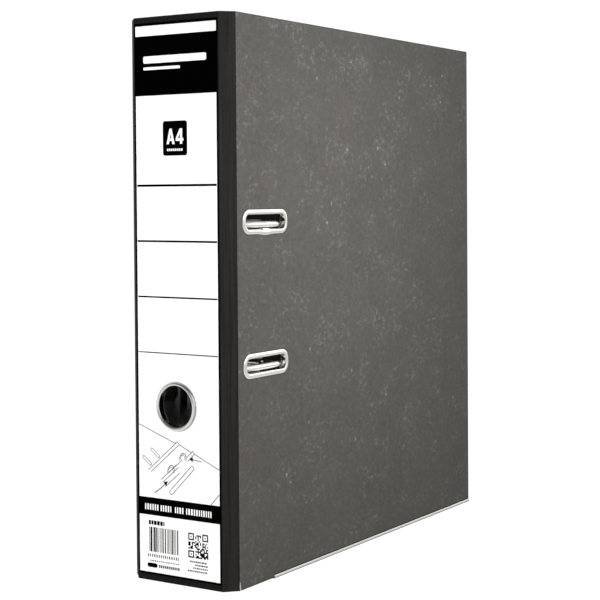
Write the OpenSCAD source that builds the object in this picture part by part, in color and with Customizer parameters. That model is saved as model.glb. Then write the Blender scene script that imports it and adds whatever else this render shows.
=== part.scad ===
// Lever arch file, A4 upright, 80 mm filing pitch.
// The file stands on its bottom edges. +Z is up along the spine, the front
// cover faces +X, the back cover faces -X and the spine faces -Y.
// The origin is the middle of the bottom, on the ground.
// In names, _u is a distance from the spine's outer face along +Y, and _h
// is a height above the inside of the back cover along +X.

/* [Case] */
// Height of the boards, ground to top edge
file_h = 318; // [316:1:330]
// Depth from the spine's outer face to the free edge of the covers
file_d = 285; // [275:1:320]
// Width across the two covers
file_w = 73; // [73:1:80]
// Thickness of the grey board
board_t = 2.2; // [1.8:0.1:2.6]
// Thickness of the covering paper, lining paper and book cloth
skin_t = 0.25; // [0.15:0.05:0.35]
// Chamfer that the flexible joint makes between spine and cover
joint_c = 7; // [6:0.1:7]
// Width of the covering paper's turn-in on the inside
turn_in = 14; // [8:1:20]

/* [Edge protectors] */
// Distance from the spine at which the protector starts
guard_u = 40; // [20:1:80]
// Height of the protector's outer flange
guard_out = 2; // [1.2:0.1:5]
// Height of the protector's inner flange
guard_in = 4; // [1.2:0.1:8]
// Sheet thickness of the protector
guard_t = 0.4; // [0.3:0.05:0.6]

/* [Spine label] */
// Width of the label
label_w = 58; // [50:0.1:58.8]
// Bottom edge of the label above the ground
label_z0 = 4.1; // [2:0.1:20]
// Top edge of the label above the ground
label_z1 = 314.5; // [280:0.1:315.5]
// Thickness of the label
label_t = 0.15; // [0.1:0.05:0.2]

/* [Finger ring] */
// Height of the ring's centre
ring_z = 100.3; // [80:0.1:130]
// Sideways offset of the ring from the spine's middle
ring_x = -1.2; // [-2:0.1:2]
// Outer diameter of the rolled rim
ring_od = 28; // [26:0.5:32]
// Clear diameter of the finger hole
ring_id = 23; // [20:0.5:24]

/* [Cover slots] */
// Length of a slot eyelet
slot_len = 44.2; // [42:0.1:46]
// Height of a slot eyelet
slot_hgt = 13.9; // [13.5:0.1:16]
// Width of the eyelet's rim
slot_rim = 2.8; // [2.4:0.1:3]
// Outer corner radius of the eyelet
slot_r = 6; // [5:0.1:6.5]
// Distance from the spine to the middle of the slots
slot_u = 33.65; // [33.4:0.05:34]
// Height of the slots' middle above the arches' middle
slot_up = 1.7; // [0.5:0.1:1.8]
// How far the eyelet's rim stands proud of the cover
slot_proud = 0.7; // [0.5:0.1:1]

/* [Lever arch mechanism] */
// Height of the mechanism's middle above the ground
mech_z = 161.2; // [150:0.1:165]
// Distance between the two filing posts
post_pitch = 80; // [80:1:80]
// Distance from the spine to the filing posts
post_u = 53.2; // [53:0.1:53.4]
// Diameter of a filing post
post_d = 5.5; // [5:0.1:5.6]
// Height of the filing posts above the inside of the back cover
post_top = 53; // [48:1:55]
// Diameter of the arch wire
wire_d = 4; // [3.8:0.1:4]
// Distance from the spine to the arch shaft
shaft_u = 14.2; // [14:0.1:14.4]
// Height of the arch shaft above the inside of the back cover
shaft_h = 8.5; // [8.5:0.1:8.8]
// Bend radius where the arch turns down to the filing post
crown_r = 6; // [5:0.5:7]
// Bend radius where the arch's leg turns into the crown
shoulder_r = 14; // [8:0.5:14]
// Clearance of the arch's crown below the cover's outer face
crown_gap = 1; // [0.8:0.1:1.4]
// Length of the base plate
plate_len = 164; // [160:1:170]
// Length of the compressor bar
bar_len = 166; // [150:1:172]
// Distance of the lever's free end from its pivot
lever_len = 92; // [84:1:98]
// Radial running clearance of pins and shafts
run_c = 0.05; // [0.03:0.01:0.08]

/* [Hidden] */
$fn = 48;

// Case
cover_x = file_w / 2;                 // outer face of the front cover
cover_t = board_t + 2 * skin_t;       // board with both skins
inside_x = -cover_x + cover_t;        // inner face of the back cover
spine_y = -file_d / 2;                // outer face of the spine
spine_x = cover_x - joint_c;          // half width of the spine
case_z = guard_t;                     // lower edge of the case
case_h = file_h - case_z;
cover_d = file_d - joint_c;           // depth of a cover
board_h = case_h - 2 * skin_t;
lining_h = case_h - 2 * turn_in;
ring_hole_r = ring_id / 2 + 0.55;     // hole for the finger ring

// Arch and filing posts
wire_r = wire_d / 2;
post_z = post_pitch / 2;              // posts lie at +-post_z
inside_w = file_w - 2 * cover_t;
crown_h = inside_w + cover_t - crown_gap - wire_r;   // crown centreline
crank_r = 15;
crank_dip = 20;                       // angle of the crank below the plate's plane
crank_h = shaft_h - crank_r * sin(crank_dip);

// Base plate and rivets
plate_t = 1.2;
rivet_shank_r = 2;
rivet_hole_r = 2.05;
tenon_r = 2;                          // filing post's foot in the plate
bore_r = 2.02;                        // bores for tenons and lever pivots

// Lever, with its pivot and roller axes along Y
pivot_z = 5;
pivot_h = shaft_h + 6.75;
pivot_r = 2;
lever_u = 28;                         // middle of the lever's cheeks
lever_half = 7;                       // half width across the cheeks
lever_t = 1.5;                        // sheet thickness of the lever
lever_r = 5;                          // cheek radius round the pivot
ear_gap = 7.2;                        // half gap between the bracket ears
ear_t = 1.5;
roller_arm = crank_r * sin(crank_dip) / sin(2 * crank_dip);
roller_z = pivot_z - roller_arm * cos(2 * crank_dip);
roller_h = pivot_h - roller_arm * sin(2 * crank_dip);
roller_r = roller_h - crank_h - wire_r - 0.25;
pin_r = 1.5;

// ---------------------------------------------------------------- helpers
// Frame of the mechanism: x is h, y is u, z starts at the mechanism's middle
module mech() translate([inside_x, spine_y, mech_z]) children();

// Swaps the front and back sides of the case
module other_side() mirror([1, 0, 0]) children();

// Turns a z axis to +Y
module along_y() rotate([-90, 0, 0]) children();

// Turns a z axis to +X
module along_x() rotate([0, 90, 0]) children();

// Rounded rectangle in the YZ plane, extruded along +X
module pill(len, hgt, r, thick)
  rotate([90, 0, 90]) linear_extrude(thick) {
    square([len - 2 * r, hgt], center = true);
    square([len, hgt - 2 * r], center = true);
    for (a = [-1, 1], b = [-1, 1])
      translate([a * (len / 2 - r), b * (hgt / 2 - r)]) circle(r);
  }

function unit(v) = v / norm(v);

module frame_at(origin, x, y, z)
  multmatrix([[x[0], y[0], z[0], origin[0]],
              [x[1], y[1], z[1], origin[1]],
              [x[2], y[2], z[2], origin[2]],
              [0, 0, 0, 1]]) children();

// Round bar between two points
module bar(start, end, r) {
  dir = unit(end - start);
  helper = abs(dir[2]) < 0.9 ? [0, 0, 1] : [1, 0, 0];
  side = unit(cross(helper, dir));
  frame_at(start, side, cross(dir, side), dir)
    cylinder(r = r, h = norm(end - start));
}

// Wire through points, with corner i bent to radius bends[i]
module bent_wire(points, bends, r) {
  last = len(points) - 1;
  turn = [for (i = [0:last]) i == 0 || i == last ? 0
    : acos(unit(points[i] - points[i - 1]) * unit(points[i + 1] - points[i]))];
  // length that each bend takes off its straights
  cut = [for (i = [0:last]) bends[i] * tan(turn[i] / 2)];
  union() {
    for (i = [0:last - 1]) {
      dir = unit(points[i + 1] - points[i]);
      bar(points[i] + dir * cut[i], points[i + 1] - dir * cut[i + 1], r);
    }
    for (i = [1:last - 1]) {
      dir_in = unit(points[i] - points[i - 1]);
      dir_out = unit(points[i + 1] - points[i]);
      centre = points[i] + unit(dir_out - dir_in) * bends[i] / cos(turn[i] / 2);
      x = unit(points[i] - dir_in * cut[i] - centre);
      frame_at(centre, x, dir_in, cross(x, dir_in))
        rotate_extrude(angle = turn[i]) translate([bends[i], 0]) circle(r);
    }
  }
}

// Thin wire of eight flats swept along a dense path
module swept(path, r) {
  sides = 8;
  count = len(path);
  tangent = [for (i = [0:count - 1])
    unit(path[min(i + 1, count - 1)] - path[max(i - 1, 0)])];
  // a direction that the path never runs along
  ref = [0.31, 0.2, 0.93];
  side = [for (i = [0:count - 1]) unit(cross(tangent[i], ref))];
  points = [for (i = [0:count - 1], k = [0:sides - 1])
    path[i] + r * (cos(k * 360 / sides) * side[i]
      + sin(k * 360 / sides) * cross(tangent[i], side[i]))];
  polyhedron(points = points, faces = concat(
    [[for (k = [0:sides - 1]) k]],
    [for (i = [0:count - 2], k = [0:sides - 1])
      [i * sides + k, (i + 1) * sides + k,
       (i + 1) * sides + (k + 1) % sides, i * sides + (k + 1) % sides]],
    [[for (k = [sides - 1:-1:0]) (count - 1) * sides + k]]));
}

// ---------------------------------------------------------------- cover layers
// Layers of one cover, drawn at the back cover
module cover_board()
  translate([-cover_x + skin_t, spine_y + joint_c, case_z + skin_t])
    cube([board_t, cover_d - skin_t, board_h]);

// Covering paper: outer skin, three wrapped edges and turn-ins
module cover_wrap()
  translate([-cover_x, spine_y + joint_c, case_z]) difference() {
    cube([cover_t, cover_d, case_h]);
    translate([skin_t, -1, skin_t]) cube([board_t, cover_d + 1 - skin_t, board_h]);
    translate([skin_t + board_t - 0.01, -1, turn_in])
      cube([skin_t + 1, cover_d + 1 - turn_in, lining_h]);
  }

module cover_lining()
  translate([inside_x - skin_t, spine_y + joint_c, case_z + turn_in])
    cube([skin_t, cover_d - turn_in, lining_h]);

// Channel round the cover's lower edge
module edge_protector() {
  length = file_d - guard_u;
  translate([-cover_x, spine_y + guard_u, 0]) {
    translate([-guard_t, 0, 0]) cube([cover_t + 2 * guard_t, length, guard_t]);
    translate([-guard_t, 0, 0]) cube([guard_t, length, guard_out]);
    translate([cover_t, 0, 0]) cube([guard_t, length, guard_in]);
  }
}

// ---------------------------------------------------------------- back cover
// The four rivet axes, with local z = 0 on the inside of the back cover
module at_rivets()
  mech() for (u = [15, 56], s = [-1, 1]) translate([0, u, s * 74]) along_x() children();

module rivet_holes()
  at_rivets() translate([0, 0, -cover_t - 5]) cylinder(r = rivet_hole_r, h = 20);

module back_board() color("#8a8378")
  difference() {
    cover_board();
    rivet_holes();
  }

module back_cover_paper() color("#5b5955")
  difference() {
    cover_wrap();
    rivet_holes();
  }

module back_lining() color("#3a3938")
  difference() {
    cover_lining();
    rivet_holes();
  }

module back_edge_protector() color("#c9cacb") edge_protector();

// ---------------------------------------------------------------- base plate
plate_u = 8;
plate_w = 54;
lip_h = 3;
lip_t = 1.2;
lug_r = 4.2;
lug_t = 2;
lug_z = 31;       // inner face of each shaft lug, either side of the middle
ear_r = 5;

module plate_solid() {
  translate([0, plate_u, -plate_len / 2]) cube([plate_t, plate_w, plate_len]);
  // stiffening lips along the two long edges
  for (u = [plate_u, plate_u + plate_w - lip_t])
    translate([0, u, -plate_len / 2]) cube([lip_h, lip_t, plate_len]);
  // lugs of the arch shaft
  for (z = [-lug_z - lug_t, lug_z]) translate([0, shaft_u, z]) {
    translate([0, -lug_r, 0]) cube([shaft_h, 2 * lug_r, lug_t]);
    translate([shaft_h, 0, 0]) cylinder(r = lug_r, h = lug_t);
  }
  // ears of the lever's pivot
  for (u = [lever_u - ear_gap - ear_t, lever_u + ear_gap])
    translate([0, u, pivot_z]) {
      translate([0, 0, -ear_r]) cube([pivot_h, ear_t, 2 * ear_r]);
      translate([pivot_h, 0, 0]) along_y() cylinder(r = ear_r, h = ear_t);
    }
}

module plate_cuts() {
  // shaft and pivot bores
  translate([shaft_h, shaft_u, -40]) cylinder(r = wire_r + run_c, h = 80);
  translate([pivot_h, 10, pivot_z]) along_y() cylinder(r = bore_r, h = 40);
  for (s = [-1, 1]) {
    // holes for the filing posts' tenons
    translate([-1, post_u, s * post_z]) along_x() cylinder(r = bore_r, h = 6);
    // pressed windows that lighten the plate
    translate([-1, 34, s * 58]) pill(len = 16, hgt = 12, r = 4, thick = 6);
  }
}

module base_plate() color("#b9bbbd")
  difference() {
    mech() plate_solid();
    mech() plate_cuts();
    rivet_holes();
  }

// Hollow rivets through the back cover and the plate
module mechanism_rivets() color("#c4c6c8") {
  grip = cover_t + plate_t;
  outer_head_t = 0.6;
  inner_head_t = 0.7;
  at_rivets() translate([0, 0, -cover_t]) difference() {
    union() {
      translate([0, 0, -outer_head_t]) cylinder(r = 4.4, h = outer_head_t);
      translate([0, 0, -outer_head_t])
        cylinder(r = rivet_shank_r, h = outer_head_t + grip + inner_head_t);
      translate([0, 0, grip]) cylinder(r = 3.2, h = inner_head_t);
    }
    translate([0, 0, -1]) cylinder(r = 1.3, h = grip + 4);
  }
}

// ---------------------------------------------------------------- filing posts
// Side is 1 for the upper post and -1 for the lower one
module filing_post(side) {
  collar_t = 1;
  seat_r = wire_r + 0.2;
  mech() translate([0, post_u, side * post_z]) along_x() difference() {
    union() {
      cylinder(r = tenon_r, h = plate_t);
      translate([0, 0, plate_t]) cylinder(r = 5, h = collar_t);
      translate([0, 0, plate_t + collar_t])
        cylinder(r = post_d / 2, h = post_top - plate_t - collar_t);
    }
    // seat of the arch's tip
    translate([0, 0, post_top - seat_r * tan(30)])
      cylinder(r1 = 0, r2 = seat_r * 2, h = seat_r * 2 * tan(30));
  }
}

module filing_post_upper() color("#cfd0d1") filing_post(1);
module filing_post_lower() color("#cfd0d1") filing_post(-1);

// ---------------------------------------------------------------- pivot rivets
// One rivet through each ear and cheek; z runs outward from the lever's middle
module lever_pivot_rivets() color("#bfc1c3") {
  shank_z = 5.1;
  ear_face = ear_gap + ear_t;
  mech() for (s = [-1, 1])
    translate([pivot_h, lever_u, pivot_z]) rotate([s * -90, 0, 0]) {
      translate([0, 0, shank_z]) cylinder(r = pivot_r, h = ear_face - shank_z);
      translate([0, 0, 4.55]) cylinder(r = 3, h = 0.6);
      translate([0, 0, ear_face]) cylinder(r = 3.6, h = 1);
    }
}

// ---------------------------------------------------------------- arch spring
// Torsion spring on the arch shaft: one leg on the plate, one under the crank
spring_r = 0.45;                         // radius of the spring wire
coil_r = wire_r + 0.35 + spring_r;       // radius of the coil's centreline
coil_z = -29.2;
coil_rise = 1.25;                        // advance per turn
coil_step = 15;                          // degrees between path points
coil_steps = (135 + 4 * 360) / coil_step;

// Path as [h, u, z]: plate leg, coil, crank leg
spring_path = concat(
  [[1.7, shaft_u - 0.6, coil_z], [1.72, shaft_u - 1.8, coil_z],
   [2.1, shaft_u - 2.55, coil_z], [2.9, shaft_u - coil_r, coil_z]],
  [for (i = [0:coil_steps]) let (a = 180 - i * coil_step)
    [shaft_h + coil_r * sin(a), shaft_u + coil_r * cos(a),
     coil_z + i * coil_rise * coil_step / 360]],
  [[2.6, shaft_u + 9.86, -23.7], [2.15, shaft_u + 10.2, -23.3],
   [1.95, shaft_u + 10.3, -22.6], [1.95, shaft_u + 10.3, -13.5]]);

module arch_spring() color("#a9acae") mech() swept(spring_path, spring_r);

// ---------------------------------------------------------------- spine
module spine_hole()
  translate([ring_x, spine_y - 3, ring_z]) along_y() cylinder(r = ring_hole_r, h = 12);

module spine_board() color("#8a8378") difference() {
  translate([-spine_x, spine_y + skin_t, case_z + skin_t])
    cube([2 * spine_x, board_t, board_h]);
  spine_hole();
}

// Cloth over the spine board, turned in at the top and bottom
module spine_cloth() color("#232221") difference() {
  translate([-spine_x, spine_y, case_z]) cube([2 * spine_x, cover_t, case_h]);
  translate([-spine_x - 1, spine_y + skin_t, case_z + skin_t])
    cube([2 * spine_x + 2, board_t, board_h]);
  translate([-spine_x - 1, spine_y + cover_t - skin_t - 0.01, case_z + turn_in])
    cube([2 * spine_x + 2, skin_t + 1, lining_h]);
  spine_hole();
}

module spine_lining() color("#3a3938") difference() {
  translate([-spine_x, spine_y + cover_t - skin_t, case_z + turn_in])
    cube([2 * spine_x, skin_t, lining_h]);
  spine_hole();
}

module spine_label() color("#f4f4f2") difference() {
  translate([-label_w / 2, spine_y - label_t, label_z0])
    cube([label_w, label_t, label_z1 - label_z0]);
  spine_hole();
}

// Rolled rim on the label, with a barrel through the spine and an inner flange.
// The profile's y runs outward from the spine's outer face.
module finger_ring_outer() color("#d3d4d5") {
  hole_r = ring_id / 2;
  rim_w = ring_od / 2 - hole_r;
  rim_base = 0.45;
  barrel_y = -cover_t - 0.75;
  translate([ring_x, spine_y, ring_z]) rotate([90, 0, 0]) rotate_extrude() {
    translate([hole_r, label_t]) square([rim_w, rim_base]);
    intersection() {
      translate([hole_r + rim_w / 2, label_t + rim_base]) circle(rim_w / 2);
      translate([hole_r, label_t + 0.4]) square([rim_w, rim_w / 2 + 1]);
    }
    translate([hole_r, barrel_y]) square([0.5, label_t + 0.1 - barrel_y]);
    translate([hole_r, barrel_y]) square([1.5, 0.35]);
  }
}

// Washer on the inside of the spine
module finger_ring_inner() color("#c4c5c6")
  translate([ring_x, spine_y + cover_t, ring_z]) along_y() difference() {
    cylinder(r = ring_od / 2 - 0.3, h = 0.4);
    translate([0, 0, -1]) cylinder(r = ring_hole_r, h = 3);
  }

// ---------------------------------------------------------------- joints
// Outer cloth and inner lining across a board gap, drawn at the front cover
module joint_cloth() translate([0, spine_y, case_z]) linear_extrude(case_h) {
  across = (skin_t + 0.1) * sqrt(2);    // cloth thickness measured along x or y
  polygon([[spine_x, 0], [cover_x, joint_c],
           [cover_x - across, joint_c], [spine_x, across]]);
}

module joint_lining()
  translate([-board_t, spine_y + board_t, case_z + turn_in]) linear_extrude(lining_h)
    polygon([[spine_x + board_t, skin_t],
             [cover_x - skin_t, joint_c - board_t],
             [cover_x - 2 * skin_t, joint_c - board_t],
             [spine_x + board_t, 2 * skin_t]]);

module front_joint_cloth() color("#232221") joint_cloth();
module front_joint_lining() color("#3a3938") joint_lining();
module back_joint_cloth() color("#232221") other_side() joint_cloth();
module back_joint_lining() color("#3a3938") other_side() joint_lining();

// ---------------------------------------------------------------- front cover
barrel_t = 0.35;                      // wall of the eyelet's barrel
barrel_inset = slot_rim - barrel_t;   // barrel's outside, in from the rim's edge
hole_inset = barrel_inset - 0.05;     // hole that takes the barrel
backplate_t = 0.4;

// Eyelet outline, drawn in by inset all round
module slot_pill(inset, thick)
  pill(slot_len - 2 * inset, slot_hgt - 2 * inset, slot_r - inset, thick);

// Places a slot on the outer face; side is 1 for the upper and -1 for the lower
module slot_at(side)
  translate([cover_x, spine_y + slot_u, mech_z + slot_up + side * post_z]) children();

module slot_cuts()
  for (s = [-1, 1])
    slot_at(s) translate([-cover_t - 3, 0, 0]) slot_pill(hole_inset, cover_t + 6);

module front_board() color("#8a8378") difference() {
  other_side() cover_board();
  slot_cuts();
}

module front_cover_paper() color("#5b5955") difference() {
  other_side() cover_wrap();
  slot_cuts();
}

module front_lining() color("#3a3938") difference() {
  other_side() cover_lining();
  slot_cuts();
}

module front_edge_protector() color("#c9cacb") other_side() edge_protector();

// Stepped rim with a barrel through the cover and its backplate
module slot_eyelet() difference() {
  union() {
    slot_pill(0, 0.35);
    slot_pill(0.45, slot_proud);
    translate([-cover_t - backplate_t - 0.3, 0, 0])
      slot_pill(barrel_inset, cover_t + backplate_t + 0.5);
  }
  translate([-cover_t - 3, 0, 0]) slot_pill(slot_rim, cover_t + 6);
}

module slot_backplate() translate([-cover_t - backplate_t, 0, 0]) difference() {
  slot_pill(0.3, backplate_t);
  translate([-1, 0, 0]) slot_pill(hole_inset, 3);
}

module slot_eyelet_upper() color("#dcdcd6") slot_at(1) slot_eyelet();
module slot_eyelet_lower() color("#dcdcd6") slot_at(-1) slot_eyelet();
module slot_backplate_upper() color("#c4c5c6") slot_at(1) slot_backplate();
module slot_backplate_lower() color("#c4c5c6") slot_at(-1) slot_backplate();

// ---------------------------------------------------------------- arches
module arch_wire() color("#dcdcd8") mech() union() {
  tip_h = wire_r * tan(30);
  leg_end_h = post_top + 0.1;
  shaft_end_z = 20;       // where the sides meet the crank's ends
  crank_bend = 3.5;
  // post leg, crown, rear leg and shaft end on each side
  for (s = [-1, 1]) {
    bent_wire(
      [[leg_end_h, post_u, s * post_z], [crown_h, post_u, s * post_z],
       [crown_h, shaft_u, s * post_z], [shaft_h, shaft_u, s * post_z],
       [shaft_h, shaft_u, s * shaft_end_z]],
      [0, crown_r, shoulder_r, 5, 0], wire_r);
    translate([leg_end_h - tip_h, post_u, s * post_z])
      along_x() cylinder(r1 = 0, r2 = wire_r, h = tip_h);
  }
  // crank in the middle of the shaft
  translate([shaft_h, shaft_u, 0]) rotate([0, 0, crank_dip])
    bent_wire(
      [[0, 0, shaft_end_z], [0, 0, 15], [0, crank_r, 15],
       [0, crank_r, -16], [0, 0, -16], [0, 0, -shaft_end_z]],
      [0, crank_bend, crank_bend, crank_bend, crank_bend, 0], wire_r);
}

// ---------------------------------------------------------------- lever
arm_u0 = 37.6;
arm_u1 = 45;
tab_u0 = arm_u0 - 5;
tab_u1 = arm_u1 + 0.6;
// Stations along the lever, as z from the pivot
free_z = -lever_len;
tab_z0 = free_z + 3;
tab_z1 = free_z + 10;
flange_z0 = free_z + 18;
flange_z1 = -38;

// Side plate. The outline's x runs from the pivot towards the free end (-Z),
// its y is the height h taken negative.
module cheek() along_y() linear_extrude(lever_t) rotate(90) difference() {
  union() {
    translate([0, -pivot_h]) circle(lever_r);
    translate([pivot_z - roller_z, -roller_h]) circle(4);
    polygon([[-1, -pivot_h - lever_r], [24, -pivot_h - lever_r],
             [24, -pivot_h - 1.6], [9.2, -roller_h + 2.6],
             [2.6, -roller_h + 2], [-3.5, -pivot_h + 3.6]]);
  }
  translate([0, -pivot_h]) circle(pivot_r + run_c);
  translate([pivot_z - roller_z, -roller_h]) circle(pin_r + 0.02);
}

// Outline of the top sheet as [u, z from the pivot]:
// bridge, sideways step, arm and finger tab
top_sheet = [
  [lever_u - lever_half, -9], [lever_u + lever_half, -9],
  [lever_u + lever_half, -17], [arm_u1, -34],
  [arm_u1, free_z + 14], [tab_u1, tab_z1],
  [tab_u1, tab_z0], [tab_u0, tab_z0],
  [tab_u0, tab_z1], [arm_u0, flange_z0],
  [arm_u0, flange_z1], [lever_u - lever_half, -23]
];

module lever_arm() color("#c9cbcc") mech() translate([0, 0, pivot_z]) {
  top_h = pivot_h + lever_r;
  flange_t = 1.2;
  roll_r = 2.2;
  // two cheeks beside the roller
  for (u = [lever_u - lever_half, lever_u + lever_half - lever_t])
    translate([0, u, 0]) cheek();
  translate([top_h - lever_t, 0, 0]) rotate([90, 0, 90]) linear_extrude(lever_t)
    polygon(top_sheet);
  // stiffening flanges under the arm
  for (u = [arm_u0, arm_u1 - flange_t]) translate([top_h - 5, u, flange_z0])
    cube([3.6, flange_t, flange_z1 - flange_z0]);
  // rolled edge of the finger tab
  translate([top_h - lever_t + roll_r, tab_u0, tab_z0]) along_y() difference() {
    cylinder(r = roll_r, h = tab_u1 - tab_u0);
    translate([0, 0, -1]) cylinder(r = 1.1, h = 20);
  }
}

module roller_pin() color("#bfc1c3") mech()
  translate([roller_h, lever_u - lever_half, roller_z]) along_y()
    cylinder(r = pin_r, h = 2 * lever_half);

// Roller with a small hub standing out at both ends
module lever_roller() color("#e8e6e0") {
  width = 8;
  hub_out = 0.8;
  mech() translate([roller_h, lever_u - width / 2, roller_z]) along_y() difference() {
    union() {
      cylinder(r = roller_r, h = width);
      translate([0, 0, -hub_out]) cylinder(r = 2.6, h = width + 2 * hub_out);
    }
    translate([0, 0, -2]) cylinder(r = pin_r + run_c, h = width + 4);
  }
}

// ---------------------------------------------------------------- compressor
// Strip with rounded corners, a flange along each long edge and two post holes
module compressor_bar() color("#c4c6c8") {
  edge_u0 = 46.9;
  edge_u1 = 67;
  width = edge_u1 - edge_u0;
  base_h = 4;
  sheet_t = 1;
  corner_r = 5;
  end_z = bar_len / 2;
  straight = bar_len - 2 * corner_r;
  mech() translate([base_h, 0, 0]) difference() {
    union() {
      translate([0, edge_u0, -end_z + corner_r]) cube([sheet_t, width, straight]);
      translate([0, edge_u0 + corner_r, -end_z])
        cube([sheet_t, width - 2 * corner_r, bar_len]);
      for (s = [-1, 1], u = [edge_u0 + corner_r, edge_u1 - corner_r])
        translate([0, u, s * (end_z - corner_r)]) along_x()
          cylinder(r = corner_r, h = sheet_t);
      translate([0, edge_u1 - sheet_t, -end_z + corner_r])
        cube([3.4, sheet_t, straight]);
      translate([0, edge_u0, -end_z + corner_r]) cube([2.2, sheet_t, straight]);
    }
    for (s = [-1, 1]) translate([-1, post_u, s * post_z])
      along_x() cylinder(r = 4.25, h = 6);
  }
}

back_board();
back_cover_paper();
back_lining();
back_edge_protector();
base_plate();
mechanism_rivets();
filing_post_upper();
filing_post_lower();
lever_pivot_rivets();
arch_spring();
spine_board();
spine_cloth();
spine_lining();
spine_label();
finger_ring_outer();
finger_ring_inner();
front_joint_cloth();
front_joint_lining();
back_joint_cloth();
back_joint_lining();
front_board();
front_cover_paper();
front_lining();
front_edge_protector();
slot_eyelet_upper();
slot_eyelet_lower();
slot_backplate_upper();
slot_backplate_lower();
arch_wire();
lever_arm();
roller_pin();
lever_roller();
compressor_bar();
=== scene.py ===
"""Lever arch file standing upright on z = 0.

The spine faces -Y and the covers run back from it towards +Y, the front cover on +X
and the back cover on -X. The lever mechanism sits on the inside of the back cover.
Geometry is written in millimetres and turned into metres when a mesh is built.
Lengths in the materials are in metres, unless a name says millimetres.
"""
import math
import random
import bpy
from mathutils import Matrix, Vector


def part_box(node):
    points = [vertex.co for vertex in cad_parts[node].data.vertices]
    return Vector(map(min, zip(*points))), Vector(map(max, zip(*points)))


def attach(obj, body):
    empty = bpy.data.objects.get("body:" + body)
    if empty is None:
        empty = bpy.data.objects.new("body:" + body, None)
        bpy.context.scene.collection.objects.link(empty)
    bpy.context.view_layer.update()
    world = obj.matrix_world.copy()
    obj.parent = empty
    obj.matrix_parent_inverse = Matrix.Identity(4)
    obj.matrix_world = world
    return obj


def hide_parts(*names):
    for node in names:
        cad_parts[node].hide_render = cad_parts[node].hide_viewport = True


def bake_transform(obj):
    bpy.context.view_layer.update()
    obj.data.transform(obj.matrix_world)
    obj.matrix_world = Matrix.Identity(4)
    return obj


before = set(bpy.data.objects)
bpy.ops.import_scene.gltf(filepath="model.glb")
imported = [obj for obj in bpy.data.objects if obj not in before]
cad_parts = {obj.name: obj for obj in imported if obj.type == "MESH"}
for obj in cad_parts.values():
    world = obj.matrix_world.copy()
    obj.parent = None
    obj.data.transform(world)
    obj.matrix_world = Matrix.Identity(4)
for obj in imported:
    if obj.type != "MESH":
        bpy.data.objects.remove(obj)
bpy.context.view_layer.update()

from types import SimpleNamespace

import bmesh
import bpy
import numpy as np
from mathutils import Matrix, Vector
from mathutils.geometry import delaunay_2d_cdt

MM = 0.001


# ------------------------------------------------------------------ driving sizes
def box_mm(name):
    """Low and high corner of a CAD piece in millimetres."""
    low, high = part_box(name)
    return np.array(low) / MM, np.array(high) / MM


def read_eyelet(name):
    low, high = box_mm("slot_eyelet_" + name)
    return SimpleNamespace(
        y=(low[1] + high[1]) / 2,
        z=(low[2] + high[2]) / 2,
        width=high[1] - low[1],
        height=high[2] - low[2],
        rise=high[0] - COVER_X,
    )


PAPER_LOW, PAPER_HIGH = box_mm("front_cover_paper")
CLOTH_LOW, CLOTH_HIGH = box_mm("spine_cloth")
LABEL_LOW, LABEL_HIGH = box_mm("spine_label")
RING_LOW, RING_HIGH = box_mm("finger_ring_outer")
GUARD_LOW, GUARD_HIGH = box_mm("front_edge_protector")
LINING_LOW, _ = box_mm("front_lining")

COVER_X = PAPER_HIGH[0]                  # outer face of the front cover
BOARD_T = PAPER_HIGH[0] - PAPER_LOW[0]   # board with both skins
HINGE_Y = PAPER_LOW[1]                   # spine side of the cover boards
FORE_Y = PAPER_HIGH[1]                   # fore-edge of the cover boards
FOOT_Z = PAPER_LOW[2]
HEAD_Z = PAPER_HIGH[2]
SPINE_Y = CLOTH_LOW[1]                   # outer face of the spine
SPINE_HALF = CLOTH_HIGH[0]               # half width of the flat spine
JOINT_DEPTH = HINGE_Y - SPINE_Y
SKIN = 0.25                              # thickness of cloth and covering paper
TURN_IN = LINING_LOW[2] - FOOT_Z         # width folded over to the inside

RING_X = (RING_LOW[0] + RING_HIGH[0]) / 2
RING_Z = (RING_LOW[2] + RING_HIGH[2]) / 2
RING_R = (RING_HIGH[0] - RING_LOW[0]) / 2
RING_NOMINAL_R = 14.0
LABEL_HOLE_R = 12.05                     # hole for a ring of the nominal radius

MECH_Z = 161.2                           # middle height of the mechanism
BACK_INNER_X = -COVER_X + BOARD_T        # inner face of the back cover

EYELETS = {name: read_eyelet(name) for name in ("upper", "lower")}
SIDES = (("front", 1), ("back", -1))     # cover name and sign of its X

# sign of each corner in the two axes, and the angle where its arc starts
CORNERS = ((1, 1, 0), (-1, 1, 90), (-1, -1, 180), (1, -1, 270))
QUARTER = [math.radians(90 * k / 6) for k in range(7)]


# ------------------------------------------------------------------ mesh helpers
def build(name, verts, faces, materials, tags=None, sharp=38, smooth=True):
    """Make an object from millimetre points. tags is the material index of each face."""
    mesh = bpy.data.meshes.new(name)
    mesh.from_pydata([tuple(float(c) * MM for c in v) for v in verts], [],
                     [tuple(int(i) for i in f) for f in faces])
    for material in materials:
        mesh.materials.append(material)
    if tags is not None:
        mesh.polygons.foreach_set("material_index", [int(i) for i in tags])
    bm = bmesh.new()
    bm.from_mesh(mesh)
    bmesh.ops.recalc_face_normals(bm, faces=bm.faces)
    bm.to_mesh(mesh)
    bm.free()
    if smooth:
        mesh.shade_smooth()
        mesh.set_sharp_from_angle(angle=math.radians(sharp))
    mesh.update()
    ob = bpy.data.objects.new(name, mesh)
    bpy.context.scene.collection.objects.link(ob)
    return ob


def grid(points, close_rows=False, close_columns=False):
    """Quads over a rows x columns array of points."""
    rows, columns = points.shape[:2]
    index = np.arange(rows * columns).reshape(rows, columns)
    faces = []
    for i in range(rows if close_rows else rows - 1):
        for j in range(columns if close_columns else columns - 1):
            i2, j2 = (i + 1) % rows, (j + 1) % columns
            faces.append((index[i, j], index[i2, j], index[i2, j2], index[i, j2]))
    return points.reshape(-1, 3), faces


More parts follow.
